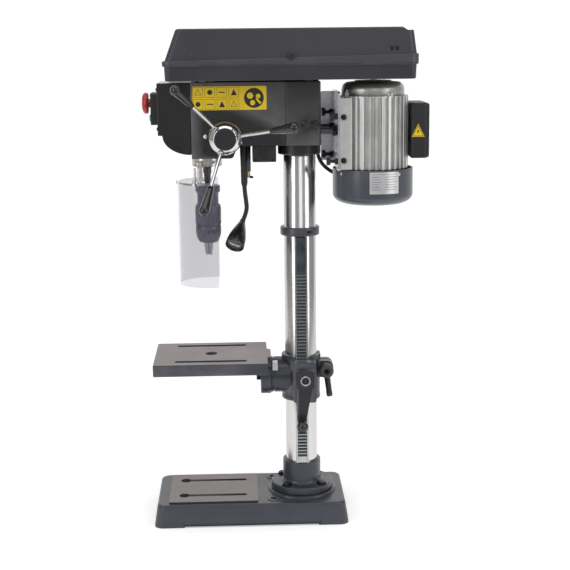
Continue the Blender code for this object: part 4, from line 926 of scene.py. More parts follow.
def build_pulleys():
    top = PULLEY_BOTTOM + 4.0 * STEP_HEIGHT
    profile = [(8.4, 795.0), (11.2, 795.0), (12.0, 795.8), (12.0, PULLEY_BOTTOM)]
    profile += groove_profile((50.0, 42.0, 34.0, 26.0), PULLEY_BOTTOM)
    profile += [(14.0, top), (12.5, top - 2.5), (8.4, top - 2.5)]
    item = raw_object("spindle_cone", turned(profile, (SPINDLE_X, 0.0, 0.0)))
    dress(item, ALUMINIUM, "spindle_pulley", ("spindle_pulley",))
    screw = set_screw((SPINDLE_X, -11.6, 814.0), FRONT, 3.0, 2.6)
    piece("spindle_cone_screw", screw, OXIDE, "spindle_pulley")
    profile = [(8.4, PULLEY_BOTTOM)] + groove_profile((26.0, 34.0, 42.0, 50.0), PULLEY_BOTTOM)
    profile += [(44.0, top), (42.0, top - 3.0), (20.0, top - 3.0), (18.0, top - 0.6), (8.4, top - 0.6)]
    item = raw_object("idler_cone", turned(profile, (IDLER_X, 0.0, 0.0)))
    holes = []
    for k in range(6):
        angle = math.radians(60.0 * k)
        x = IDLER_X + 31.0 * math.cos(angle)
        y = 31.0 * math.sin(angle)
        holes.append(pin((x, y, top - 8.0), (x, y, top + 5.0), 5.5, 32))
    carve(item, holes)
    dress(item, ALUMINIUM, "idler_pulley", ("idler_pulley",))
    bottom = PULLEY_BOTTOM + STEP_HEIGHT
    high = bottom + 3.0 * STEP_HEIGHT
    profile = [(0.0, 794.0), (7.0, 794.0), (7.0, bottom)] + groove_profile((36.0, 28.0, 20.0), bottom)
    profile += [(12.0, high), (11.0, high + 0.2), (7.0, high + 0.2), (7.0, 889.2), (6.4, 890.0),
                (0.0, 890.0)]
    item = raw_object("motor_cone", turned(profile, (MOTOR_X, 0.0, 0.0)))
    keyway = box((MOTOR_X - 1.6, 4.2, high - 4.0), (MOTOR_X + 1.6, 9.0, 895.0))
    carve(item, [keyway])
    dress(item, ALUMINIUM, "motor_rotor", ("motor_pulley",))
    post = ((0.0, 823.8), (16.4, 823.8), (17.0, 824.4), (17.0, 826.6), (16.2, 827.3), (8.0, 827.3),
            (8.0, 889.0), (7.0, 890.0), (0.0, 890.0))
    piece("idler_stud", turned(post, (IDLER_X, 0.0, 0.0)), DARK, "frame", ("idler_post",))


def belt_ring(x_first, radius_first, x_second, radius_second, steps=60):
    lean = math.asin((radius_first - radius_second) / (x_second - x_first))
    path = []
    for k in range(steps + 1):
        path.append((x_first, radius_first, math.pi / 2.0 - lean + (math.pi + 2.0 * lean) * k / steps))
    for k in range(steps + 1):
        path.append((x_second, radius_second, -math.pi / 2.0 + lean + (math.pi - 2.0 * lean) * k / steps))
    return path


def build_belt(name, node, x_first, radius_first, x_second, radius_second, z):
    section = ((0.0, -3.7), (0.0, 3.7), (-0.5, 4.1), (-1.2, 4.0), (-5.4, 1.5), (-5.4, -1.5), (-1.2, -4.0),
               (-0.5, -4.1))
    bm = bmesh.new()
    rings = []
    for x, radius, angle in belt_ring(x_first, radius_first, x_second, radius_second):
        ring = []
        for depth, height in section:
            reach = radius + depth
            ring.append(bm.verts.new((x + reach * math.cos(angle), reach * math.sin(angle), z + height)))
        rings.append(ring)
    count = len(section)
    for first, second in zip(rings, rings[1:] + rings[:1]):
        for k in range(count):
            following = (k + 1) % count
            bm.faces.new((first[k], first[following], second[following], second[k]))
    piece(name, bm, RUBBER, "frame", (node,))


# ---------------------------------------------------------------- quill, spindle, chuck

def build_quill():
    profile = (
        (8.4, 670.0),
        (21.2, 670.0),
        (22.0, 670.8),
        (22.0, 784.0),
        (21.0, 785.0),
        (8.4, 785.0),
    )
    piece("quill_sleeve", turned(profile, (SPINDLE_X, 0.0, 0.0)), STEEL, "quill",
          ("quill",))
    profile = (
        (22.4, 670.5),
        (26.8, 670.5),
        (28.0, 671.7),
        (28.0, 673.4),
        (27.6, 673.8),
        (27.6, 674.6),
        (28.0, 675.0),
        (28.0, 686.3),
        (26.8, 687.5),
        (22.4, 687.5),
    )
    item = raw_object("collar_ring", turned(profile, (SPINDLE_X, 0.0, 0.0)))
    carve(item, [pin((SPINDLE_X + 12.0, -32.0, 679.5), (SPINDLE_X + 12.0, -20.0, 679.5), 3.1, 32)])
    dress(item, STEEL, "quill", ("guard_collar",))
    piece("collar_screw", set_screw((SPINDLE_X + 12.0, -22.4, 679.5), FRONT, 3.0, 2.2), STEEL, "quill")
    profile = (
        (0.0, 635.3),
        (5.2, 635.3),
        (6.6, 656.0),
        (7.8, 658.0),
        (7.8, 669.0),
        (8.0, 670.0),
        (8.0, 903.0),
        (7.0, 904.0),
        (0.0, 904.0),
    )
    piece("spindle_shaft", turned(profile, (SPINDLE_X, 0.0, 0.0)), DARK, "spindle",
          ("spindle",))


def build_chuck():
    profile = (
        (0.0, 635.0),
        (21.0, 635.0),
        (22.6, 634.0),
        (23.0, 632.6),
        (23.0, 624.0),
        (22.2, 622.2),
        (20.2, 620.6),
        (19.7, 618.0),
        (19.5, 602.0),
        (18.7, 601.0),
        (18.7, 559.5),
        (23.2, 559.4),
        (23.6, 558.6),
        (23.6, 549.0),
        (23.2, 544.0),
        (21.6, 537.6),
        (18.6, 531.0),
        (17.0, 529.2),
        (16.0, 529.0),
        (11.2, 529.0),
        (17.0, 574.0),
        (0.0, 574.0),
    )
    item = raw_object("chuck_shell", turned(profile, (SPINDLE_X, 0.0, 0.0)))
    holes = []
    for k in range(3):
        angle = math.radians(-84.0 + 120.0 * k)
        out = Vector((math.cos(angle), math.sin(angle), 0.0))
        centre = Vector((SPINDLE_X, 0.0, 549.5))
        holes.append(pin(centre + out * 15.0, centre + out * 30.0, 4.0, 40))
    carve(item, holes)
    dress(item, CHUCK, "spindle", ("chuck_body",))
    for k in range(3):
        angle = math.radians(-84.0 + 120.0 * k)
        out = Vector((math.cos(angle), math.sin(angle), 0.0))
        start = Vector((SPINDLE_X, 0.0, 549.5)) + out * 22.2
        ring = ((4.0, 0.0), (6.4, 0.0), (6.4, 1.2), (5.8, 1.8), (4.6, 1.8), (4.0, 1.2))
        piece("key_ring_%d" % (k + 1), turned(ring, start, out, 40), DARK, "spindle")
    sleeve_teeth = 30
    rings = []
    for z, base, tip in ((560.0, 20.6, 21.4), (560.6, 21.4, 22.6), (566.5, 22.4, 24.0),
                         (567.5, 23.2, 24.0)):
        ring = []
        for k in range(sleeve_teeth * 4):
            angle = 2.0 * math.pi * k / (sleeve_teeth * 4)
            radius = tip if k % 4 in (0, 1) else base
            ring.append((SPINDLE_X + radius * math.cos(angle), radius * math.sin(angle), z))
        rings.append(ring)
    for z, radius in ((568.5, 24.0), (594.0, 24.0), (594.6, 23.5), (595.6, 23.5), (596.2, 23.6),
                      (598.6, 22.6), (600.0, 20.8)):
        ring = []
        for k in range(sleeve_teeth * 4):
            angle = 2.0 * math.pi * k / (sleeve_teeth * 4)
            ring.append((SPINDLE_X + radius * math.cos(angle), radius * math.sin(angle), z))
        rings.append(ring)
    item = raw_object("geared_sleeve", loft(rings))
    carve(item, [pin((SPINDLE_X, 0.0, 550.0), (SPINDLE_X, 0.0, 610.0), 19.0)])
    dress(item, CHUCK, "chuck_sleeve", ("chuck_sleeve",))
    for k in range(3):
        angle = math.radians(90.0 + 120.0 * k)
        out = Vector((math.cos(angle), math.sin(angle), 0.0))
        slope = math.tan(math.radians(8.0))
        low = Vector((SPINDLE_X, 0.0, 505.0)) + out * 3.9
        high = Vector((SPINDLE_X, 0.0, 560.0)) + out * (3.9 + 55.0 * slope)
        item = raw_object("jaw_bar_%d" % (k + 1), rod(low, high, 3.2, steps=48, chamfer=0.5))
        across = Vector((-out.y, out.x, 0.0))
        face = Vector((SPINDLE_X, 0.0, 520.0)) + out * 0.9
        corners = []
        for side, depth in ((-6.0, -4.0), (6.0, -4.0), (6.0, 0.0), (-6.0, 0.0)):
            point = face + across * side + out * depth
            corners.append((point.x, point.y))
        carve(item, [prism(corners, 500.0, 530.0)])
        striped = (lambda centre, normal: centre.z < 513.0, 1)
        dress(item, (STEEL, OXIDE), "jaw_%d" % (k + 1), ("chuck_jaw_%d" % (k + 1),),
              paint=(striped,))


# ---------------------------------------------------------------- guard

def guard_plan(radius, open_x, steps=48):
    points = [(open_x, -radius)]
    for k in range(steps + 1):
        angle = math.radians(-90.0 - 180.0 * k / steps)
        points.append((SPINDLE_X + radius * math.cos(angle), radius * math.sin(angle)))
    points.append((open_x, radius))
    return points


def guard_band(outer, inner, open_x):
    return guard_plan(outer, open_x) + list(reversed(guard_plan(inner, open_x)))


def build_guard():
    shell = prism(guard_band(56.0, 53.0, -151.0), 451.0, 644.0)
    piece("guard_shell", shell, CLEAR, "guard", ("guard_shield",), 0.5, 2)
    plate = raw_object("guard_plate", prism(guard_band(52.7, 29.5, -158.0), 639.0, 642.0))
    straps = []
    for side in (-1.0, 1.0):
        near = side * 28.5
        far = side * 31.2
        lug_outline = rounded(-189.0, -179.0, 671.0, 682.0, 4.5, 6)
        straps.append(prism(lug_outline, min(near, far), max(near, far), "Y"))
        for x in (-187.0, -181.0):
            straps.append(pin((x, side * 29.85, 640.5), (x, side * 29.85, 674.0), 1.35, 24))
    carve(plate, straps, "UNION")
    dress(plate, STEEL, "guard", ("guard_bracket",), 0.4, 2)
    for number, side in enumerate((-1.0, 1.0)):
        direction = (0.0, side, 0.0)
        bolt = cap_screw((-184.0, side * 31.2, 677.0), direction, 4.2, 2.6)
        piece("guard_pivot_%d" % (number + 1), bolt, STEEL, "guard")
    for number, degrees in enumerate((115.0, 180.0, 245.0)):
        angle = math.radians(degrees)
        out = Vector((math.cos(angle), math.sin(angle), 0.0))
        start = Vector((SPINDLE_X, 0.0, 640.5)) + out * 52.9
        piece("guard_screw_%d" % (number + 1), cap_screw(start + out * 3.0, out, 3.6, 2.4), SCREW,
              "guard")
    for number, (x, y) in enumerate(((-192.5, -25.0), (-186.0, -32.6), (-186.0, 32.6))):
        post = rod((x, y, 642.0), (x, y, 669.0), 2.1, steps=32, chamfer=0.3)
        piece("guard_post_%d" % (number + 1), post, CHROME, "guard")


# ---------------------------------------------------------------- feed

def feed_point(number, reach):
    angle = FEED_START_ANGLE + 2.0 * math.pi * number / 3.0
    return Vector(
        (
            FEED_X + reach * math.cos(angle),
            FEED_APEX_Y - reach * math.tan(FEED_TILT),
            FEED_Z + reach * math.sin(angle),
        )
    )


def build_feed():
    shaft = ((0.0, 0.0), (8.0, 0.0), (9.0, 1.0), (9.0, 145.0), (0.0, 145.0))
    item = raw_object("feed_axle", turned(shaft, (FEED_X, HUB_FRONT_Y + 0.5, FEED_Z), BACK))
    dress(item, DARK, "feed", ("feed_shaft",))
    hub = (
        (9.3, 0.0),
        (19.6, 0.0),
        (20.4, 0.3),
        (27.9, 9.2),
        (28.5, 10.4),
        (28.5, 14.4),
        (28.1, 15.2),
        (26.0, 19.0),
        (24.6, 25.0),
        (24.0, 26.5),
        (9.3, 26.5),
    )
    piece("hub_cone", turned(hub, (FEED_X, HUB_FRONT_Y, FEED_Z), BACK, 128), CHROME, "feed",
          ("feed_hub",))
    cap = ((0.0, 0.5), (10.0, 0.3), (16.0, 0.05), (18.8, 0.2), (19.6, 0.8), (19.8, 1.6), (19.8, 3.0),
           (0.0, 3.0))
    start = (FEED_X, HUB_FRONT_Y - 3.3, FEED_Z)
    piece("hub_disc", turned(cap, start, BACK, 128), PLASTIC, "feed", ("hub_cap",))
    ring = (
        (9.3, 0.0),
        (27.6, 0.0),
        (28.4, 0.5),
        (28.7, 1.2),
        (29.5, 1.6),
        (29.5, 12.4),
        (28.7, 12.8),
        (28.4, 13.5),
        (27.6, 14.0),
        (9.3, 14.0),
    )
    start = (FEED_X, HUB_BACK_Y + 0.3, FEED_Z)
    piece("scale_ring", turned(ring, start, BACK, 128), GOLD, "depth_ring", ("depth_ring",))
    ticks = []
    for k in range(60):
        angle = 2.0 * math.pi * k / 60.0
        out = Vector((math.cos(angle), 0.0, math.sin(angle)))
        along = Vector((-math.sin(angle), 0.0, math.cos(angle)))
        reach = 7.0 if k % 5 == 0 else 4.0
        near = Vector((FEED_X, -66.2, FEED_Z))
        far = Vector((FEED_X, -66.2 + reach, FEED_Z))
        rings = []
        for base in (near, far):
            rings.append([base + out * r + along * s for r,
                          s in ((29.3, -0.22), (29.3, 0.22), (29.62, 0.22), (29.62, -0.22))])
        ticks.append(loft(rings))
    piece("scale_ticks", merge(*ticks), OXIDE, "depth_ring")
    screw = set_screw((FEED_X + 28.0, -57.0, FEED_Z - 9.0), (1.0, 0.0, -0.32), 2.6, 2.2)
    piece("scale_screw", screw, SCREW, "depth_ring")
    for number in range(3):
        build_feed_handle(number)
    cap = (
        (0.0, 0.0),
        (29.2, 0.0),
        (30.0, 0.8),
        (30.0, 17.0),
        (29.2, 19.0),
        (27.0, 20.6),
        (24.0, 21.0),
        (13.0, 21.0),
        (12.0, 21.6),
        (11.0, 26.2),
        (10.0, 27.0),
        (0.0, 27.0),
    )
    item = raw_object("spring_can", turned(cap, (FEED_X, 52.3, FEED_Z), BACK))
    notches = []
    for k in range(6):
        angle = math.radians(60.0 * k + 15.0)
        x = FEED_X + 30.0 * math.cos(angle)
        z = FEED_Z + 30.0 * math.sin(angle)
        notches.append(pin((x, 60.0, z), (x, 85.0, z), 3.0, 24))
    carve(item, notches)
    dress(item, HEAD, "frame", ("return_spring_cap",))
    piece("spring_nut", hexagon((FEED_X, 79.0, FEED_Z), BACK, 16.0, 0.3), SCREW, "frame")


def build_feed_handle(number):
    start = feed_point(number, 24.9)
    joint = feed_point(number, 82.0)
    end = feed_point(number, 128.0)
    label = number + 1
    bar = rod(start, joint, 3.3, steps=48, chamfer=0.4)
    piece("handle_rod_%d" % label, bar, CHROME, "feed", ("feed_rod_%d" % label,))
    line = end - joint
    length = line.length
    profile = [(0.0, 0.0), (4.4, 0.0), (5.2, 0.5), (5.4, 1.4), (5.4, 4.0), (5.9, 4.6)]
    profile += [(6.2, 10.0), (6.7, 0.3 * length), (7.6, 0.5 * length), (8.7, 0.68 * length)]
    for k in range(10):
        angle = math.radians(-12.0 + 102.0 * k / 9.0)
        profile.append((9.4 * math.cos(angle) if k < 9 else 0.0, length - 9.7 + 9.4 * math.sin(angle)))
    item = raw_object("handle_grip_%d" % label,
                      turned(profile, joint + line.normalized() * 0.3, line.normalized(), 64))
    dress(item, GLOSS, "feed", ("feed_grip_%d" % label,), angle=60.0)
    boss = turned(((3.35, 0.0), (5.6, 0.0), (5.2, 2.4), (3.35, 2.6)), start + line.normalized() * 0.6,
                  line.normalized(), 48)
    piece("handle_boss_%d" % label, boss, CHROME, "feed")


# ---------------------------------------------------------------- table, bracket, crank and lock

def build_bracket():
    ring = turned(
        (
            (0.0, 226.0),
            (35.7, 226.0),
            (36.7, 227.0),
            (36.7, 232.0),
            (36.0, 233.0),
            (36.0, 304.5),
            (36.7, 305.5),
            (36.7, 311.0),
            (35.7, 312.0),
            (0.0, 312.0),
        )
    )
    item = raw_object("bracket_casting", ring)
    gear_box = prism(rounded(-17.0, 26.0, 231.0, 308.0, 4.5, 8), -62.0, -20.0, "Y")
    arm = turned(
        ((0.0, 0.0), (34.0, 0.0), (34.0, 30.0), (33.1, 31.0), (33.1, 33.0), (34.0, 34.0), (34.0, 36.4),
         (33.4, 37.0), (0.0, 37.0)),
        (-20.0, 0.0, TILT_Z),
        LEFT,
    )
    lug = prism(rounded(25.0, 61.0, 267.0, 299.0, 12.0, 10), -15.5, 15.5, "Y")
    ears = [box((-36.0, -9.0, 303.0), (-26.0, 9.0, 312.0)), box((26.0, -14.0, 303.0), (36.6, 14.0, 312.0))]
    carve(item, [gear_box, arm, lug] + ears, "UNION")
    cuts = [
        pin((0.0, 0.0, 200.0), (0.0, 0.0, 330.0), COLUMN_BORE),
        box((-12.6, -41.0, 200.0), (12.6, -25.0, 330.0)),
        box((25.0, -2.5, 200.0), (70.0, 2.5, 330.0)),
        pin((CRANK_X, -70.0, CRANK_Z), (CRANK_X, -46.0, CRANK_Z), 6.4),
        pin((LOCK_X, -30.0, LOCK_Z), (LOCK_X, 30.0, LOCK_Z), 4.4),
    ]
    carve(item, cuts)
    dress(item, BLUE, "bracket", ("table_bracket",), 0.9, 3)
    piece("bracket_screw", set_screw((25.7, -50.0, 283.0), RIGHT, 3.6, 3.4), OXIDE, "bracket")
    nut = hexagon((LOCK_X, 15.6, LOCK_Z), BACK, 13.0, 6.0)
    piece("lock_nut", nut, OXIDE, "bracket")


def build_table():
    levels = ((1.6, 291.7), (0.6, 292.1), (0.0, 293.2), (0.0, 312.6), (0.5, 313.4), (1.3, TABLE_TOP))
    outlines = []
    for inset, z in levels:
        outlines.append(at_height(rounded(-276.0 + inset, -64.0 - inset, -85.0 + inset, 85.0 - inset, 3.0,
                                          5), z))
    item = raw_object("table_casting", loft(outlines))
    hollow = prism(rounded(-269.0, -71.0, -78.0, 78.0, 5.0, 6), 280.0, 303.7)
    carve(item, [hollow])
    disc = turned(
        ((0.0, 0.0), (35.0, 0.0), (36.5, 1.6), (36.5, 18.2), (35.7, 19.7), (0.0, 19.7)),
        (-77.0, 0.0, TILT_Z),
        RIGHT,
    )
    web = box((-156.0, -6.0, 296.0), (-70.0, 6.0, 306.0))
    tab = box((-69.0, -37.0, 295.0), (-57.3, 27.0, TABLE_TOP))
    cross = []
    for x in (-205.0, -135.0):
        cross.append(box((x - 2.5, -80.0, 297.0), (x + 2.5, 80.0, 306.0)))
    carve(item, [disc, web, tab] + cross, "UNION")
    cuts = [turned(((0.0, 270.0), (10.5, 270.0), (10.5, 312.6), (12.0, 314.1), (12.0, 330.0),
                    (0.0, 330.0)), (SPINDLE_X, 0.0, 0.0))]
    for y in (-60.0, 60.0):
        cuts.append(prism(rounded(-237.0, -102.5, y - 6.0, y + 6.0, 5.9, 10), 280.0, 330.0))
    carve(item, cuts)
    dress(
        item,
        (BLUE, GROUND),
        "table",
        ("table",),
        0.5,
        2,
        paint=((faces_up(TABLE_TOP - 0.1, TABLE_TOP + 0.1), 1),),
    )
    bolt = hexagon((-77.0, 0.0, TILT_Z), LEFT, 19.0, 8.0)
    piece("tilt_bolt", bolt, OXIDE, "table")
    stop = hexagon((-71.0, -38.0, 295.2), DOWN, 9.0, 6.0)
    piece("table_stop_bolt", stop, OXIDE, "table")
    marks = []
    for k in range(13):
        angle = math.radians(-135.0 + 7.5 * k)
        out = Vector((0.0, math.cos(angle), math.sin(angle)))
        along = Vector((0.0, -math.sin(angle), math.cos(angle)))
        width = 0.3
        reach = 6.0 if k % 3 == 0 else 3.6
        rings = []
        for x in (-58.0 - reach, -58.0):
            rings.append(
                [Vector((x, 0.0, TILT_Z)) + out * r + along * s for r,
                 s in ((36.3, -width), (36.3, width), (36.62, width), (36.62, -width))]
            )
        marks.append(loft(rings))
    piece("tilt_scale", merge(*marks), WHITE, "table")
    sticker = prism(rounded(-55.0, -45.0, 287.0, 303.0, 1.0, 3), -34.4, -20.0, "Y")
    piece("bracket_plate", sticker, PLATE, "bracket", bevel=0.2)


def build_crank():
    hub = turned(
        ((0.0, 0.0), (10.9, 0.0), (11.5, 0.6), (11.5, 32.6), (0.0, 32.6)),
        (CRANK_X, -62.3, CRANK_Z),
        FRONT,
    )
    item = raw_object("crank_arm", hub)
    left = CRANK_X - 7.0
    outline = [
        (CRANK_X - 14.0, CRANK_Z - 8.0),
        (left - 9.0, CRANK_Z - 70.0),
        (left - 8.0, CRANK_Z - 84.0),
        (left - 5.0, CRANK_Z - 90.0),
        (left + 5.0, CRANK_Z - 90.0),
        (left + 8.0, CRANK_Z - 84.0),
        (left + 9.0, CRANK_Z - 70.0),
        (CRANK_X + 14.0, CRANK_Z - 8.0),
    ]
    arm = prism(outline, -94.4, -88.0, "Y")
    block = prism(rounded(CRANK_X - 16.5, CRANK_X + 16.5, CRANK_Z - 15.0, CRANK_Z + 19.0, 4.0, 8), -96.0,
                  -78.0, "Y")
    shaft = pin((CRANK_X, -48.0, CRANK_Z), (CRANK_X, -66.0, CRANK_Z), 6.0)
    carve(item, [block, arm, shaft], "UNION")
    dress(item, HEAD, "crank", ("crank",), 0.8, 3)
    ring = ((6.8, 0.0), (9.3, 0.0), (9.3, 1.2), (8.9, 1.6), (7.2, 1.6), (6.8, 1.2))
    piece("crank_washer", turned(ring, (CRANK_X, -95.6, CRANK_Z), FRONT, 64), STEEL, "crank")
    piece("crank_screw", set_screw((CRANK_X, -94.0, CRANK_Z), FRONT, 6.0, 2.2), OXIDE, "crank")
    profile = [(0.0, 0.0), (6.2, 0.0), (6.6, 0.6), (6.0, 2.0), (4.7, 4.0), (4.6, 8.0)]
    for k in range(1, 25):
        angle = math.radians(-64.0 + 154.0 * k / 24.0)
        profile.append((11.0 * math.cos(angle) if k < 24 else 0.0, 20.0 + 11.0 * math.sin(angle)))
    start = (left, -95.3, CRANK_Z - 81.0)
    piece("knob_ball", turned(profile, start, FRONT, 64), GLOSS, "crank", ("crank_knob",),
          angle=50.0)


def build_lock():
    hub = turned(
        ((0.0, 0.0), (12.9, 0.0), (13.5, 0.6), (13.5, 17.4), (11.6, 20.2), (6.0, 20.2), (5.4, 18.6),
         (0.0, 18.6)),
        (LOCK_X, -15.8, LOCK_Z),
        FRONT,
    )
    item = raw_object("lock_hub", hub)
    bolt = pin((LOCK_X, -20.0, LOCK_Z), (LOCK_X, 22.6, LOCK_Z), 4.0)
    start = Vector((LOCK_X + 0.5, -26.0, LOCK_Z - 6.0))
    end = Vector((LOCK_X + 6.0, -28.0, 233.0))
    length = (end - start).length
    lever = turned(
        ((0.0, 0.0), (6.0, 0.0), (5.7, 14.0), (5.5, length - 14.0), (5.8, length - 8.0),
         (5.8, length - 2.4), (4.8, length - 0.4), (0.0, length)),
        start,
        (end - start).normalized(),
        64,
    )
    carve(item, [bolt, lever], "UNION")
    dress(item, HEAD, "table_lock", ("table_lock",), angle=40.0)
    piece("lock_cap_screw", set_screw((LOCK_X, -33.6, LOCK_Z), FRONT, 4.6, 2.0), OXIDE, "table_lock")


# ---------------------------------------------------------------- motor

def fin_outline(count, tip, root):
    """A ring of rounded cooling fins."""
    points = []
    pitch = 2.0 * math.pi / count
    shape = ((-0.36, root), (-0.27, root + 0.9), (-0.2, tip - 0.9), (-0.13, tip - 0.15), (0.0, tip))
    shape += tuple((-share, radius) for share, radius in reversed(shape[:-1]))
    for number in range(count):
        middle = pitch * number - math.pi / 2.0
        for share, radius in shape:
            angle = middle + share * pitch
            points.append((MOTOR_X + radius * math.cos(angle), radius * math.sin(angle)))
    return points


def build_motor_body():
    item = raw_object("motor_casting", prism(fin_outline(32, 64.9, 57.6), MOTOR_LOW, MOTOR_HIGH))
    foot = prism(rounded(70.3, 93.0, -60.0, 60.0, 1.5, 4), 666.0, 794.0)
    top_ring = pin((MOTOR_X, 0.0, MOTOR_HIGH - 3.0), (MOTOR_X, 0.0, MOTOR_HIGH), 60.5)
    carve(item, [foot, top_ring], "UNION")
    notches = []
    for side in (-1.0, 1.0):
        for z in (682.0, 760.0):
            notches.append(pin((77.5, side * 55.5, z), (77.5, side * 66.0, z), 6.6, 48))
    carve(item, notches)
    dress(item, ALUMINIUM, "motor_carriage", ("motor_body",), angle=32.0)
    number = 0
    for side in (-1.0, 1.0):
        for z in (682.0, 760.0):
            number += 1
            start = (77.5, side * 55.6, z)
            ring = turned(((0.0, 0.0), (6.3, 0.0), (6.3, 1.4), (0.0, 1.4)), start, (0.0, side, 0.0), 48)
            piece("foot_washer_%d" % number, ring, SCREW, "motor_carriage")
            head = cap_screw((77.5, side * 57.0, z), (0.0, side, 0.0), 5.0, 2.8)
            piece("foot_screw_%d" % number, head, OXIDE, "motor_carriage")


def build_motor_ends():
    low = MOTOR_HIGH + 0.3
    profile = [(8.0, low), (57.1, low), (57.6, low + 0.7), (57.7, 806.5)]
    for k in range(1, 9):
        angle = math.radians(90.0 * k / 8.0)
        profile.append((57.7 - 14.0 * (1.0 - math.cos(angle)), 806.5 + 14.0 * math.sin(angle)))
    profile += [(34.0, 821.4), (33.0, 823.0), (16.0, 823.0), (15.0, 821.6), (8.0, 821.6)]
    item = raw_object("end_bell", turned(profile, (MOTOR_X, 0.0, 0.0)))
    dress(item, BELL, "motor_carriage", ("motor_bell",))
    for k in range(4):
        angle = math.radians(-62.0 + 90.0 * k)
        out = Vector((math.cos(angle), math.sin(angle), 0.0))
        base = Vector((MOTOR_X, 0.0, low)) + out * 55.5
        lug = turned(((0.0, 0.0), (7.4, 0.0), (7.4, 6.4), (6.6, 7.4), (0.0, 7.4)), base, UP, 40)
        piece("bell_lug_%d" % (k + 1), lug, BELL, "motor_carriage")
        screw = hexagon(base + Vector((0.0, 0.0, 7.4)), UP, 8.0, 4.0)
        piece("bell_screw_%d" % (k + 1), screw, SCREW, "motor_carriage")
    high = MOTOR_LOW - 0.3
    low = COWL_BOTTOM
    profile = [(0.0, low), (46.0, low)]
    for k in range(1, 19):
        angle = math.radians(90.0 * k / 18.0)
        profile.append((46.0 + (COWL_RADIUS - 46.0) * math.sin(angle),
                        low + 18.0 * (1.0 - math.cos(angle))))
    profile += [(COWL_RADIUS, high - 0.6), (COWL_RADIUS - 0.5, high), (COWL_RADIUS - 2.0, high)]
    profile += [(COWL_RADIUS - 2.5, high - 0.6), (COWL_RADIUS - 2.5, 618.0), (46.0, low + 3.0),
                (0.0, low + 3.0)]
    item = raw_object("cowl_shell", turned(profile, (MOTOR_X, 0.0, 0.0)))
    vents = []
    for ring, count in ((14.0, 8), (25.0, 14), (36.0, 20)):
        for k in range(count):
            angle = 2.0 * math.pi * k / count
            x = MOTOR_X + ring * math.cos(angle)
            y = ring * math.sin(angle)
            vents.append(pin((x, y, low - 2.0), (x, y, low + 6.0), 3.4, 20))
    carve(item, [merge(*vents)])
    dress(item, COWL, "motor_carriage", ("fan_cowl",))
    for k in range(4):
        angle = math.radians(-146.0 + 90.0 * k)
        out = Vector((math.cos(angle), math.sin(angle), 0.0))
        screw = cap_screw(Vector((MOTOR_X, 0.0, 656.5)) + out * (COWL_RADIUS - 0.2), out, 2.9, 1.8)
        piece("cowl_screw_%d" % (k + 1), screw, SCREW, "motor_carriage")
    build_fan()
    build_name_plate()


def build_fan():
    hub = turned(((0.0, 628.0), (11.0, 628.0), (11.0, 646.0), (0.0, 646.0)), (MOTOR_X, 0.0, 0.0))
    blades = [hub]
    for k in range(9):
        angle = 2.0 * math.pi * k / 9.0
        out = Vector((math.cos(angle), math.sin(angle), 0.0))
        across = Vector((-out.y, out.x, 0.0))
        rings = []
        for reach in (9.0, 60.0):
            ring = []
            for side, z in ((-1.0, 628.0), (1.0, 628.0), (1.0, 650.0), (-1.0, 650.0)):
                point = Vector((MOTOR_X, 0.0, z)) + out * reach + across * side
                ring.append(point)
            rings.append(ring)
        blades.append(loft(rings))
    piece("cooling_fan", merge(*blades), PLASTIC, "motor_carriage")


def curved_patch(radius, depth, start, end, low, high, steps=20):
    """A thin plate that lies on the cowl's round side between two angles."""
    outline = []
    for k in range(steps + 1):
        angle = start + (end - start) * k / steps
        outline.append((MOTOR_X + (radius + depth) * math.cos(angle), (radius + depth) * math.sin(angle)))
    for k in range(steps + 1):
        angle = end + (start - end) * k / steps
        outline.append((MOTOR_X + radius * math.cos(angle), radius * math.sin(angle)))
    return prism(outline, low, high)


def build_name_plate():
    start = math.radians(-100.0)
    end = math.radians(-57.0)
    plate = curved_patch(COWL_RADIUS - 0.1, 0.5, start, end, 622.0, 661.5)
    piece("name_plate", plate, PLATE, "motor_carriage")
    lines = []
    left = start + math.radians(3.0)
    right = end - math.radians(3.0)
    middle = 0.5 * (left + right)
    for row in range(6):
        z = 652.5 - 4.6 * row
        lines.append(curved_patch(COWL_RADIUS + 0.4, 0.12, left, left + 0.17 + 0.03 * (row % 3), z,
                                  z + 1.1, 8))
        lines.append(curved_patch(COWL_RADIUS + 0.4, 0.12, middle, right - 0.05 * (row % 2), z, z + 0.9, 8))
    lines.append(curved_patch(COWL_RADIUS + 0.4, 0.12, left, right, 657.2, 657.9, 12))
    piece("plate_lines", merge(*lines), PLATE_INK, "motor_carriage")


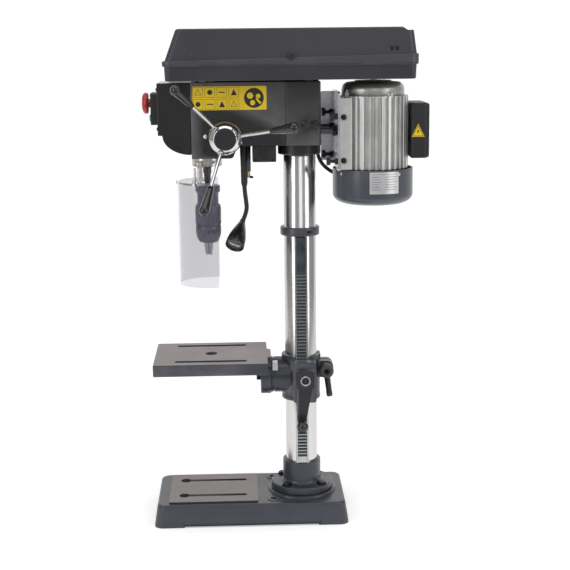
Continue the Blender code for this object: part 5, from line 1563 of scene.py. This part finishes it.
def build_motor_plate():
    flat = prism(rounded(-78.0, 78.0, 665.5, 806.0, 5.0, 6), PLATE_X, PLATE_X + 4.0, "X")
    item = raw_object("mount_plate", flat)
    flange = prism(rounded(45.0, 69.0, 670.5, 801.0, 3.0, 4), 74.0, 77.0, "Y")
    carve(item, [flange], "UNION")
    dress(item, ZINC, "motor_carriage", ("motor_plate",), 0.6, 2)
    for number, side in enumerate((-1.0, 1.0)):
        bar = rod((0.0, side * BAR_Y, BAR_Z), (PLATE_X - 0.3, side * BAR_Y, BAR_Z), 6.0, steps=64)
        node = "slide_bar_%d" % (number + 1)
        piece("guide_bar_%d" % (number + 1), bar, DARK, "motor_carriage", (node,))
        nut = hexagon((PLATE_X - 7.4, side * BAR_Y, BAR_Z), RIGHT, 17.0, 7.0)
        piece("guide_nut_%d" % (number + 1), nut, OXIDE, "motor_carriage")
    number = 0
    for side in (-1.0, 1.0):
        for z in (682.0, 762.0):
            number += 1
            y = side * 66.0
            tip = 53.0 if number == 2 else 46.0
            shank = rod((tip, y, z), (66.0, y, z), 3.0, steps=32)
            piece("plate_bolt_%d" % number, shank, OXIDE, "motor_carriage")
            piece("plate_nut_%d" % number, hexagon((61.0, y, z), RIGHT, 11.0, 5.0), OXIDE,
                  "motor_carriage")
            star = star_knob((tip, y, z), RIGHT, 7.6, 4.8, 5, 7.0)
            piece("plate_star_%d" % number, star, PLASTIC, "motor_carriage", bevel=0.5)


def star_knob(start, direction, tip, root, lobes, height):
    """A small knob with rounded lobes, made along a direction."""
    matrix = aligned(start, direction)
    rings = []
    for level in (0.0, height):
        ring = []
        for k in range(lobes * 8):
            angle = 2.0 * math.pi * k / (lobes * 8)
            wave = 0.5 + 0.5 * math.cos(lobes * angle)
            radius = root + (tip - root) * wave ** 0.7
            ring.append(matrix @ Vector((radius * math.cos(angle), radius * math.sin(angle), level)))
        rings.append(ring)
    return loft(rings)


def build_terminal_box():
    item = raw_object("terminal_case", prism(rounded(201.4, 232.0, -42.0, 42.0, 6.0, 10), 683.0, 783.0))
    dress(item, PLASTIC, "motor_carriage", ("terminal_box",), 3.0, 5)
    lid = prism(rounded(-41.0, 41.0, 684.0, 782.0, 6.0, 8), 227.0, 235.0, "X")
    piece("terminal_lid", lid, PLASTIC, "motor_carriage", bevel=2.4, segments=5)
    for number, (y, z) in enumerate(((-33.0, 692.0), (33.0, 692.0), (-33.0, 774.0), (33.0, 774.0))):
        screw = cap_screw((234.4, y, z), RIGHT, 2.6, 0.6)
        piece("terminal_screw_%d" % (number + 1), screw, SCREW, "motor_carriage")
    triangle = ((202.4, 722.0), (226.0, 722.0), (214.2, 745.5))
    piece("box_triangle", prism(triangle, -42.5, -41.9, "Y"), YELLOW, "motor_carriage",
          bevel=0.2)
    marks = []
    corners = [Vector((204.8, -42.62, 723.6)), Vector((223.6, -42.62, 723.6)),
               Vector((214.2, -42.62, 742.4))]
    for first, second in zip(corners, corners[1:] + corners[:1]):
        along = (second - first).normalized()
        across = Vector((-along.z, 0.0, along.x)) * 0.45
        outline = [first - across, second - across, second + across, first + across]
        marks.append(prism([(p.x, p.z) for p in outline], -42.62, -42.4, "Y"))
    marks.append(prism(((215.6, 737.0), (211.4, 731.6), (213.6, 731.6), (212.2, 726.0), (217.0, 732.8),
                        (214.6, 732.8)), -42.62, -42.4, "Y"))
    piece("triangle_lines", merge(*marks), LABEL_INK, "motor_carriage")


def build_motor_lead():
    route = (
        (36.0, 46.5, 709.2),
        (36.0, 46.5, 697.0),
        (37.5, 46.5, 684.0),
        (42.0, 46.5, 672.0),
        (49.5, 48.0, 662.0),
        (58.5, 49.0, 654.5),
        (65.9, 48.6, 650.0),
        (73.4, 43.6, 648.0),
    )
    lead = tube(smooth_route(route, 10), 3.5)
    piece("motor_cable", lead, RUBBER, "motor_carriage", ("motor_lead",), angle=60.0)
    relief = turned(((3.6, 0.0), (6.6, 0.0), (6.4, 6.0), (4.6, 12.0), (3.6, 12.6)), (36.0, 46.5, 709.2),
                    DOWN, 48)
    piece("lead_relief", relief, RUBBER, "frame")


def build_slide_lock():
    knob = star_knob((12.0, -54.6, 747.0), FRONT, 11.5, 7.0, 5, 11.0)
    item = raw_object("slide_knob", knob)
    lever = rod((12.0, -62.0, 747.0), (36.0, -64.0, 747.0), 3.6, steps=48)
    hub = pin((12.0, -60.0, 747.0), (12.0, -68.0, 747.0), 6.0, 48)
    carve(item, [lever, hub], "UNION")
    dress(item, PLASTIC, "slide_lock", ("slide_lock",), 0.5, 2)
    end = star_knob((24.0, -63.0, 747.0), (1.0, -0.08, 0.0), 8.4, 5.0, 5, 7.0)
    piece("slide_lever_star", end, PLASTIC, "slide_lock", bevel=0.4)


# ---------------------------------------------------------------- lamp and the small parts under the head

def build_lamp():
    x = -102.0
    y = -20.0
    profile = [(0.0, 634.0), (4.4, 634.0), (5.0, 634.8), (5.4, 638.0)]
    for k in range(5):
        z = 640.0 + 5.0 * k
        radius = 5.8 + 0.02 * (z - 640.0)
        profile += [(radius, z), (radius + 0.35, z + 1.0), (radius + 0.35, z + 3.0), (radius, z + 4.0)]
    profile += [(7.4, 704.0), (7.4, 709.7), (0.0, 709.7)]
    piece("lamp_boot", turned(profile, (x, y, 0.0)), PLASTIC, "frame", ("lamp_sleeve",),
          angle=50.0)
    route = (
        (x, y, 633.7),
        (-101.2, y, 622.0),
        (-99.6, y, 608.0),
        (-98.6, y, 594.0),
        (-101.5, y, 581.0),
        (-106.0, y, 570.5),
    )
    path = smooth_route(route, 24)
    ribbed = tube(path, lambda share: 4.2 - 0.3 * (0.5 + 0.5 * math.cos(2.0 * math.pi * share * 40.0)), 32)
    piece("gooseneck", ribbed, PLASTIC, "frame", ("lamp_neck",), angle=80.0)
    end = Vector(route[-1])
    mouth = Vector((-122.0, -62.0, 530.0))
    line = (mouth - end).normalized()
    end = end + line * 3.5
    length = (mouth - end).length
    profile = [(0.0, 0.0), (3.0, 0.0), (4.6, 1.4), (5.6, 2.8), (6.6, 4.0)]
    for share in (0.14, 0.22, 0.3, 0.4, 0.5, 0.6, 0.7, 0.8, 0.88, 0.94):
        profile.append((6.8 + 10.7 * math.sin(math.radians(90.0 * (share - 0.08) / 0.86)), length * share))
    profile += [(17.5, length - 1.2), (17.1, length - 0.2), (16.4, length), (16.0, length - 0.4)]
    profile += [(15.8, 41.0), (14.6, 34.0), (12.0, 26.0), (7.0, 21.5), (0.0, 20.0)]
    shade = raw_object("lamp_hood", turned(profile, end, line))
    dress(shade, GLOSS, "frame", ("lamp_shade",), angle=50.0)
    joint = [(0.0, 0.0)]
    for k in range(1, 12):
        angle = math.radians(-90.0 + 15.0 * k)
        joint.append((5.4 * math.cos(angle), 5.4 * (1.0 + math.sin(angle))))
    joint.append((0.0, 10.8))
    piece("lamp_joint", turned(joint, end - line * 6.5, line, 40), PLASTIC, "frame",
          angle=60.0)
    lens = [(0.0, 0.0), (15.2, 0.0)]
    for k in range(1, 9):
        angle = math.radians(90.0 * k / 8.0)
        lens.append((15.2 * math.cos(angle) if k < 8 else 0.0, 0.6 + 2.4 * math.sin(angle)))
    piece("lamp_glass", turned(lens, end + line * (length - 6.0), line), LENS, "frame")
    beads = []
    side = line.cross(Vector(BACK)).normalized()
    for k in range(7):
        angle = 2.0 * math.pi * k / 6.0
        reach = 0.0 if k == 6 else 8.4
        centre = (end + line * (length - 3.6) + side * reach * math.cos(angle)
                  + Vector(BACK) * reach * math.sin(angle))
        beads.append(turned(((0.0, 0.0), (2.6, 0.0), (2.2, 0.9), (1.0, 1.4), (0.0, 1.5)), centre, line, 24))
    piece("lamp_beads", merge(*beads), INSIDE, "frame")


def build_power_box():
    item = raw_object("switch_gear_box", prism(rounded(-86.5, -43.5, -45.0, 15.0, 3.0, 6), 680.0, 709.7))
    dress(item, PLASTIC, "frame", ("power_box",), 1.4, 3)
    for number, x in enumerate((-80.5, -49.5)):
        piece("power_screw_%d" % (number + 1), cap_screw((x, -44.9, 684.0), FRONT, 2.6, 1.4), OXIDE,
              "frame")
    rocker = prism(rounded(-73.0, -57.0, 686.0, 702.0, 2.0, 4), -46.0, -44.8, "Y")
    piece("lamp_switch_frame", rocker, GLOSS, "frame", bevel=0.4)
    profile = [(0.0, 0.0), (7.0, 0.0), (7.0, 4.0), (5.2, 4.8)]
    for k in range(3):
        profile += [(5.2 - 0.3 * k, 5.4 + 2.6 * k), (4.6 - 0.2 * k, 6.4 + 2.6 * k),
                    (4.6 - 0.2 * k, 7.2 + 2.6 * k)]
    profile += [(4.2, 14.0), (0.0, 14.0)]
    piece("gland_sleeve", turned(profile, (-65.0, 15.3, 694.0), BACK), RUBBER, "frame",
          ("mains_gland",))
    profile = ((0.0, 659.0), (5.0, 659.0), (5.9, 660.0), (5.9, 700.0), (6.2, 700.6), (6.2, 709.7),
               (0.0, 709.7))
    piece("stem_bar", turned(profile, (STEM_X, -5.0, 0.0)), DARK, "frame", ("clamp_stem",))
    hub = turned(
        ((0.0, 648.0), (3.2, 648.0), (4.0, 648.8), (4.0, 652.0), (4.8, 652.6), (5.0, 653.4), (5.0, 657.4),
         (4.4, 658.0), (0.0, 658.0)),
        (STEM_X, -5.0, 0.0),
        UP,
        64,
    )
    item = raw_object("brass_clamp", hub)
    dress(item, BRASS, "clamp_lever", ("clamp_lever",), 0.3, 2)
    lever = rod((STEM_X - 4.0, -5.0, 650.5), (STEM_X + 10.0, -5.0, 648.5), 2.2, steps=40)
    piece("clamp_tommy_bar", lever, OXIDE, "clamp_lever")


# ---------------------------------------------------------------- camera, floor and light

def build_camera():
    yaw = math.radians(1.939)
    pitch = math.radians(11.344)
    roll = math.radians(-0.608)
    forward = Vector((math.sin(yaw) * math.cos(pitch), math.cos(yaw) * math.cos(pitch), -math.sin(pitch)))
    side = Vector((math.cos(yaw), -math.sin(yaw), 0.0))
    top = side.cross(forward)
    right = side * math.cos(roll) + top * math.sin(roll)
    up = top * math.cos(roll) - side * math.sin(roll)
    data = bpy.data.cameras.new("camera")
    data.lens = 79.5
    data.sensor_width = 36.0
    data.clip_start = 0.05
    data.clip_end = 30.0
    camera = bpy.data.objects.new("camera", data)
    bpy.context.scene.collection.objects.link(camera)
    axes = Matrix((right, up, -forward)).transposed().to_4x4()
    camera.matrix_world = Matrix.Translation(Vector((-0.0819, -2.28194, 0.9099))) @ axes
    bpy.context.scene.camera = camera


def build_floor():
    """One white sheet: flat under the press, curving up a long way behind it."""
    bm = bmesh.new()
    rows = [(-0.8, 0.0), (1.0, 0.0)]
    for k in range(1, 17):
        angle = math.radians(90.0 * k / 16.0)
        rows.append((1.0 + 1.4 * math.sin(angle), 1.4 * (1.0 - math.cos(angle))))
    rows.append((2.4, 4.6))
    verts = [[bm.verts.new((x, y, z)) for x in (-4.5, 4.5)] for y, z in rows]
    for first, second in zip(verts, verts[1:]):
        bm.faces.new((first[0], first[1], second[1], second[0]))
    mesh = bpy.data.meshes.new("backdrop")
    bm.to_mesh(mesh)
    bm.free()
    mesh.shade_smooth()
    floor = bpy.data.objects.new("backdrop", mesh)
    bpy.context.scene.collection.objects.link(floor)
    white = surface("backdrop_white", (0.95, 0.95, 0.95), 0.9, 0.0, 0.01, 2.0, 40.0, 0.0, 0.02)
    shader = white.node_tree.nodes["Principled BSDF"]
    shader.inputs["Emission Color"].default_value = (1.0, 1.0, 1.0, 1.0)
    shader.inputs["Emission Strength"].default_value = 0.34
    mesh.materials.append(white)


def add_light(name, place, target, width, height, energy, tint=(1.0, 1.0, 1.0)):
    data = bpy.data.lights.new(name, "AREA")
    data.shape = "RECTANGLE"
    data.size = width
    data.size_y = height
    data.energy = energy
    data.color = tint
    lamp = bpy.data.objects.new(name, data)
    lamp.location = place
    lamp.rotation_euler = (Vector(target) - Vector(place)).to_track_quat("-Z", "Y").to_euler()
    bpy.context.scene.collection.objects.link(lamp)


def build_lights():
    add_light("left_panel", (-1.7, -1.5, 1.2), (0.0, 0.0, 0.5), 0.8, 1.9, 15.0)
    add_light("right_panel", (1.7, -1.3, 1.2), (0.0, 0.0, 0.5), 0.8, 1.9, 13.0)
    add_light("top_panel", (0.0, -0.5, 2.5), (0.0, 0.0, 0.4), 2.2, 1.6, 16.0)
    add_light("front_panel", (0.3, -2.9, 1.5), (0.0, 0.0, 0.5), 1.2, 1.2, 5.0)
    bpy.context.scene.view_settings.view_transform = "Standard"
    world = bpy.data.worlds.new("white_room")
    bpy.context.scene.world = world
    world.use_nodes = True
    world.node_tree.nodes["Background"].inputs["Color"].default_value = (1.0, 1.0, 1.0, 1.0)
    world.node_tree.nodes["Background"].inputs["Strength"].default_value = 0.38


def build_all():
    build_base()
    build_flange()
    build_column()
    build_rack()
    build_head()
    build_pointer()
    build_label()
    build_switch_housing()
    build_switch()
    build_lid()
    build_tray()
    build_pulleys()
    build_belt("pulley_belt_front", "front_belt", SPINDLE_X, 42.0, IDLER_X, 34.0, PULLEY_BOTTOM + 18.0)
    build_belt("pulley_belt_rear", "rear_belt", IDLER_X, 42.0, MOTOR_X, 28.0, PULLEY_BOTTOM + 30.0)
    build_quill()
    build_chuck()
    build_guard()
    build_feed()
    build_bracket()
    build_table()
    build_crank()
    build_lock()
    build_motor_body()
    build_motor_ends()
    build_motor_plate()
    build_terminal_box()
    build_motor_lead()
    build_slide_lock()
    build_lamp()
    build_power_box()


build_camera()
build_all()
build_floor()
build_lights()
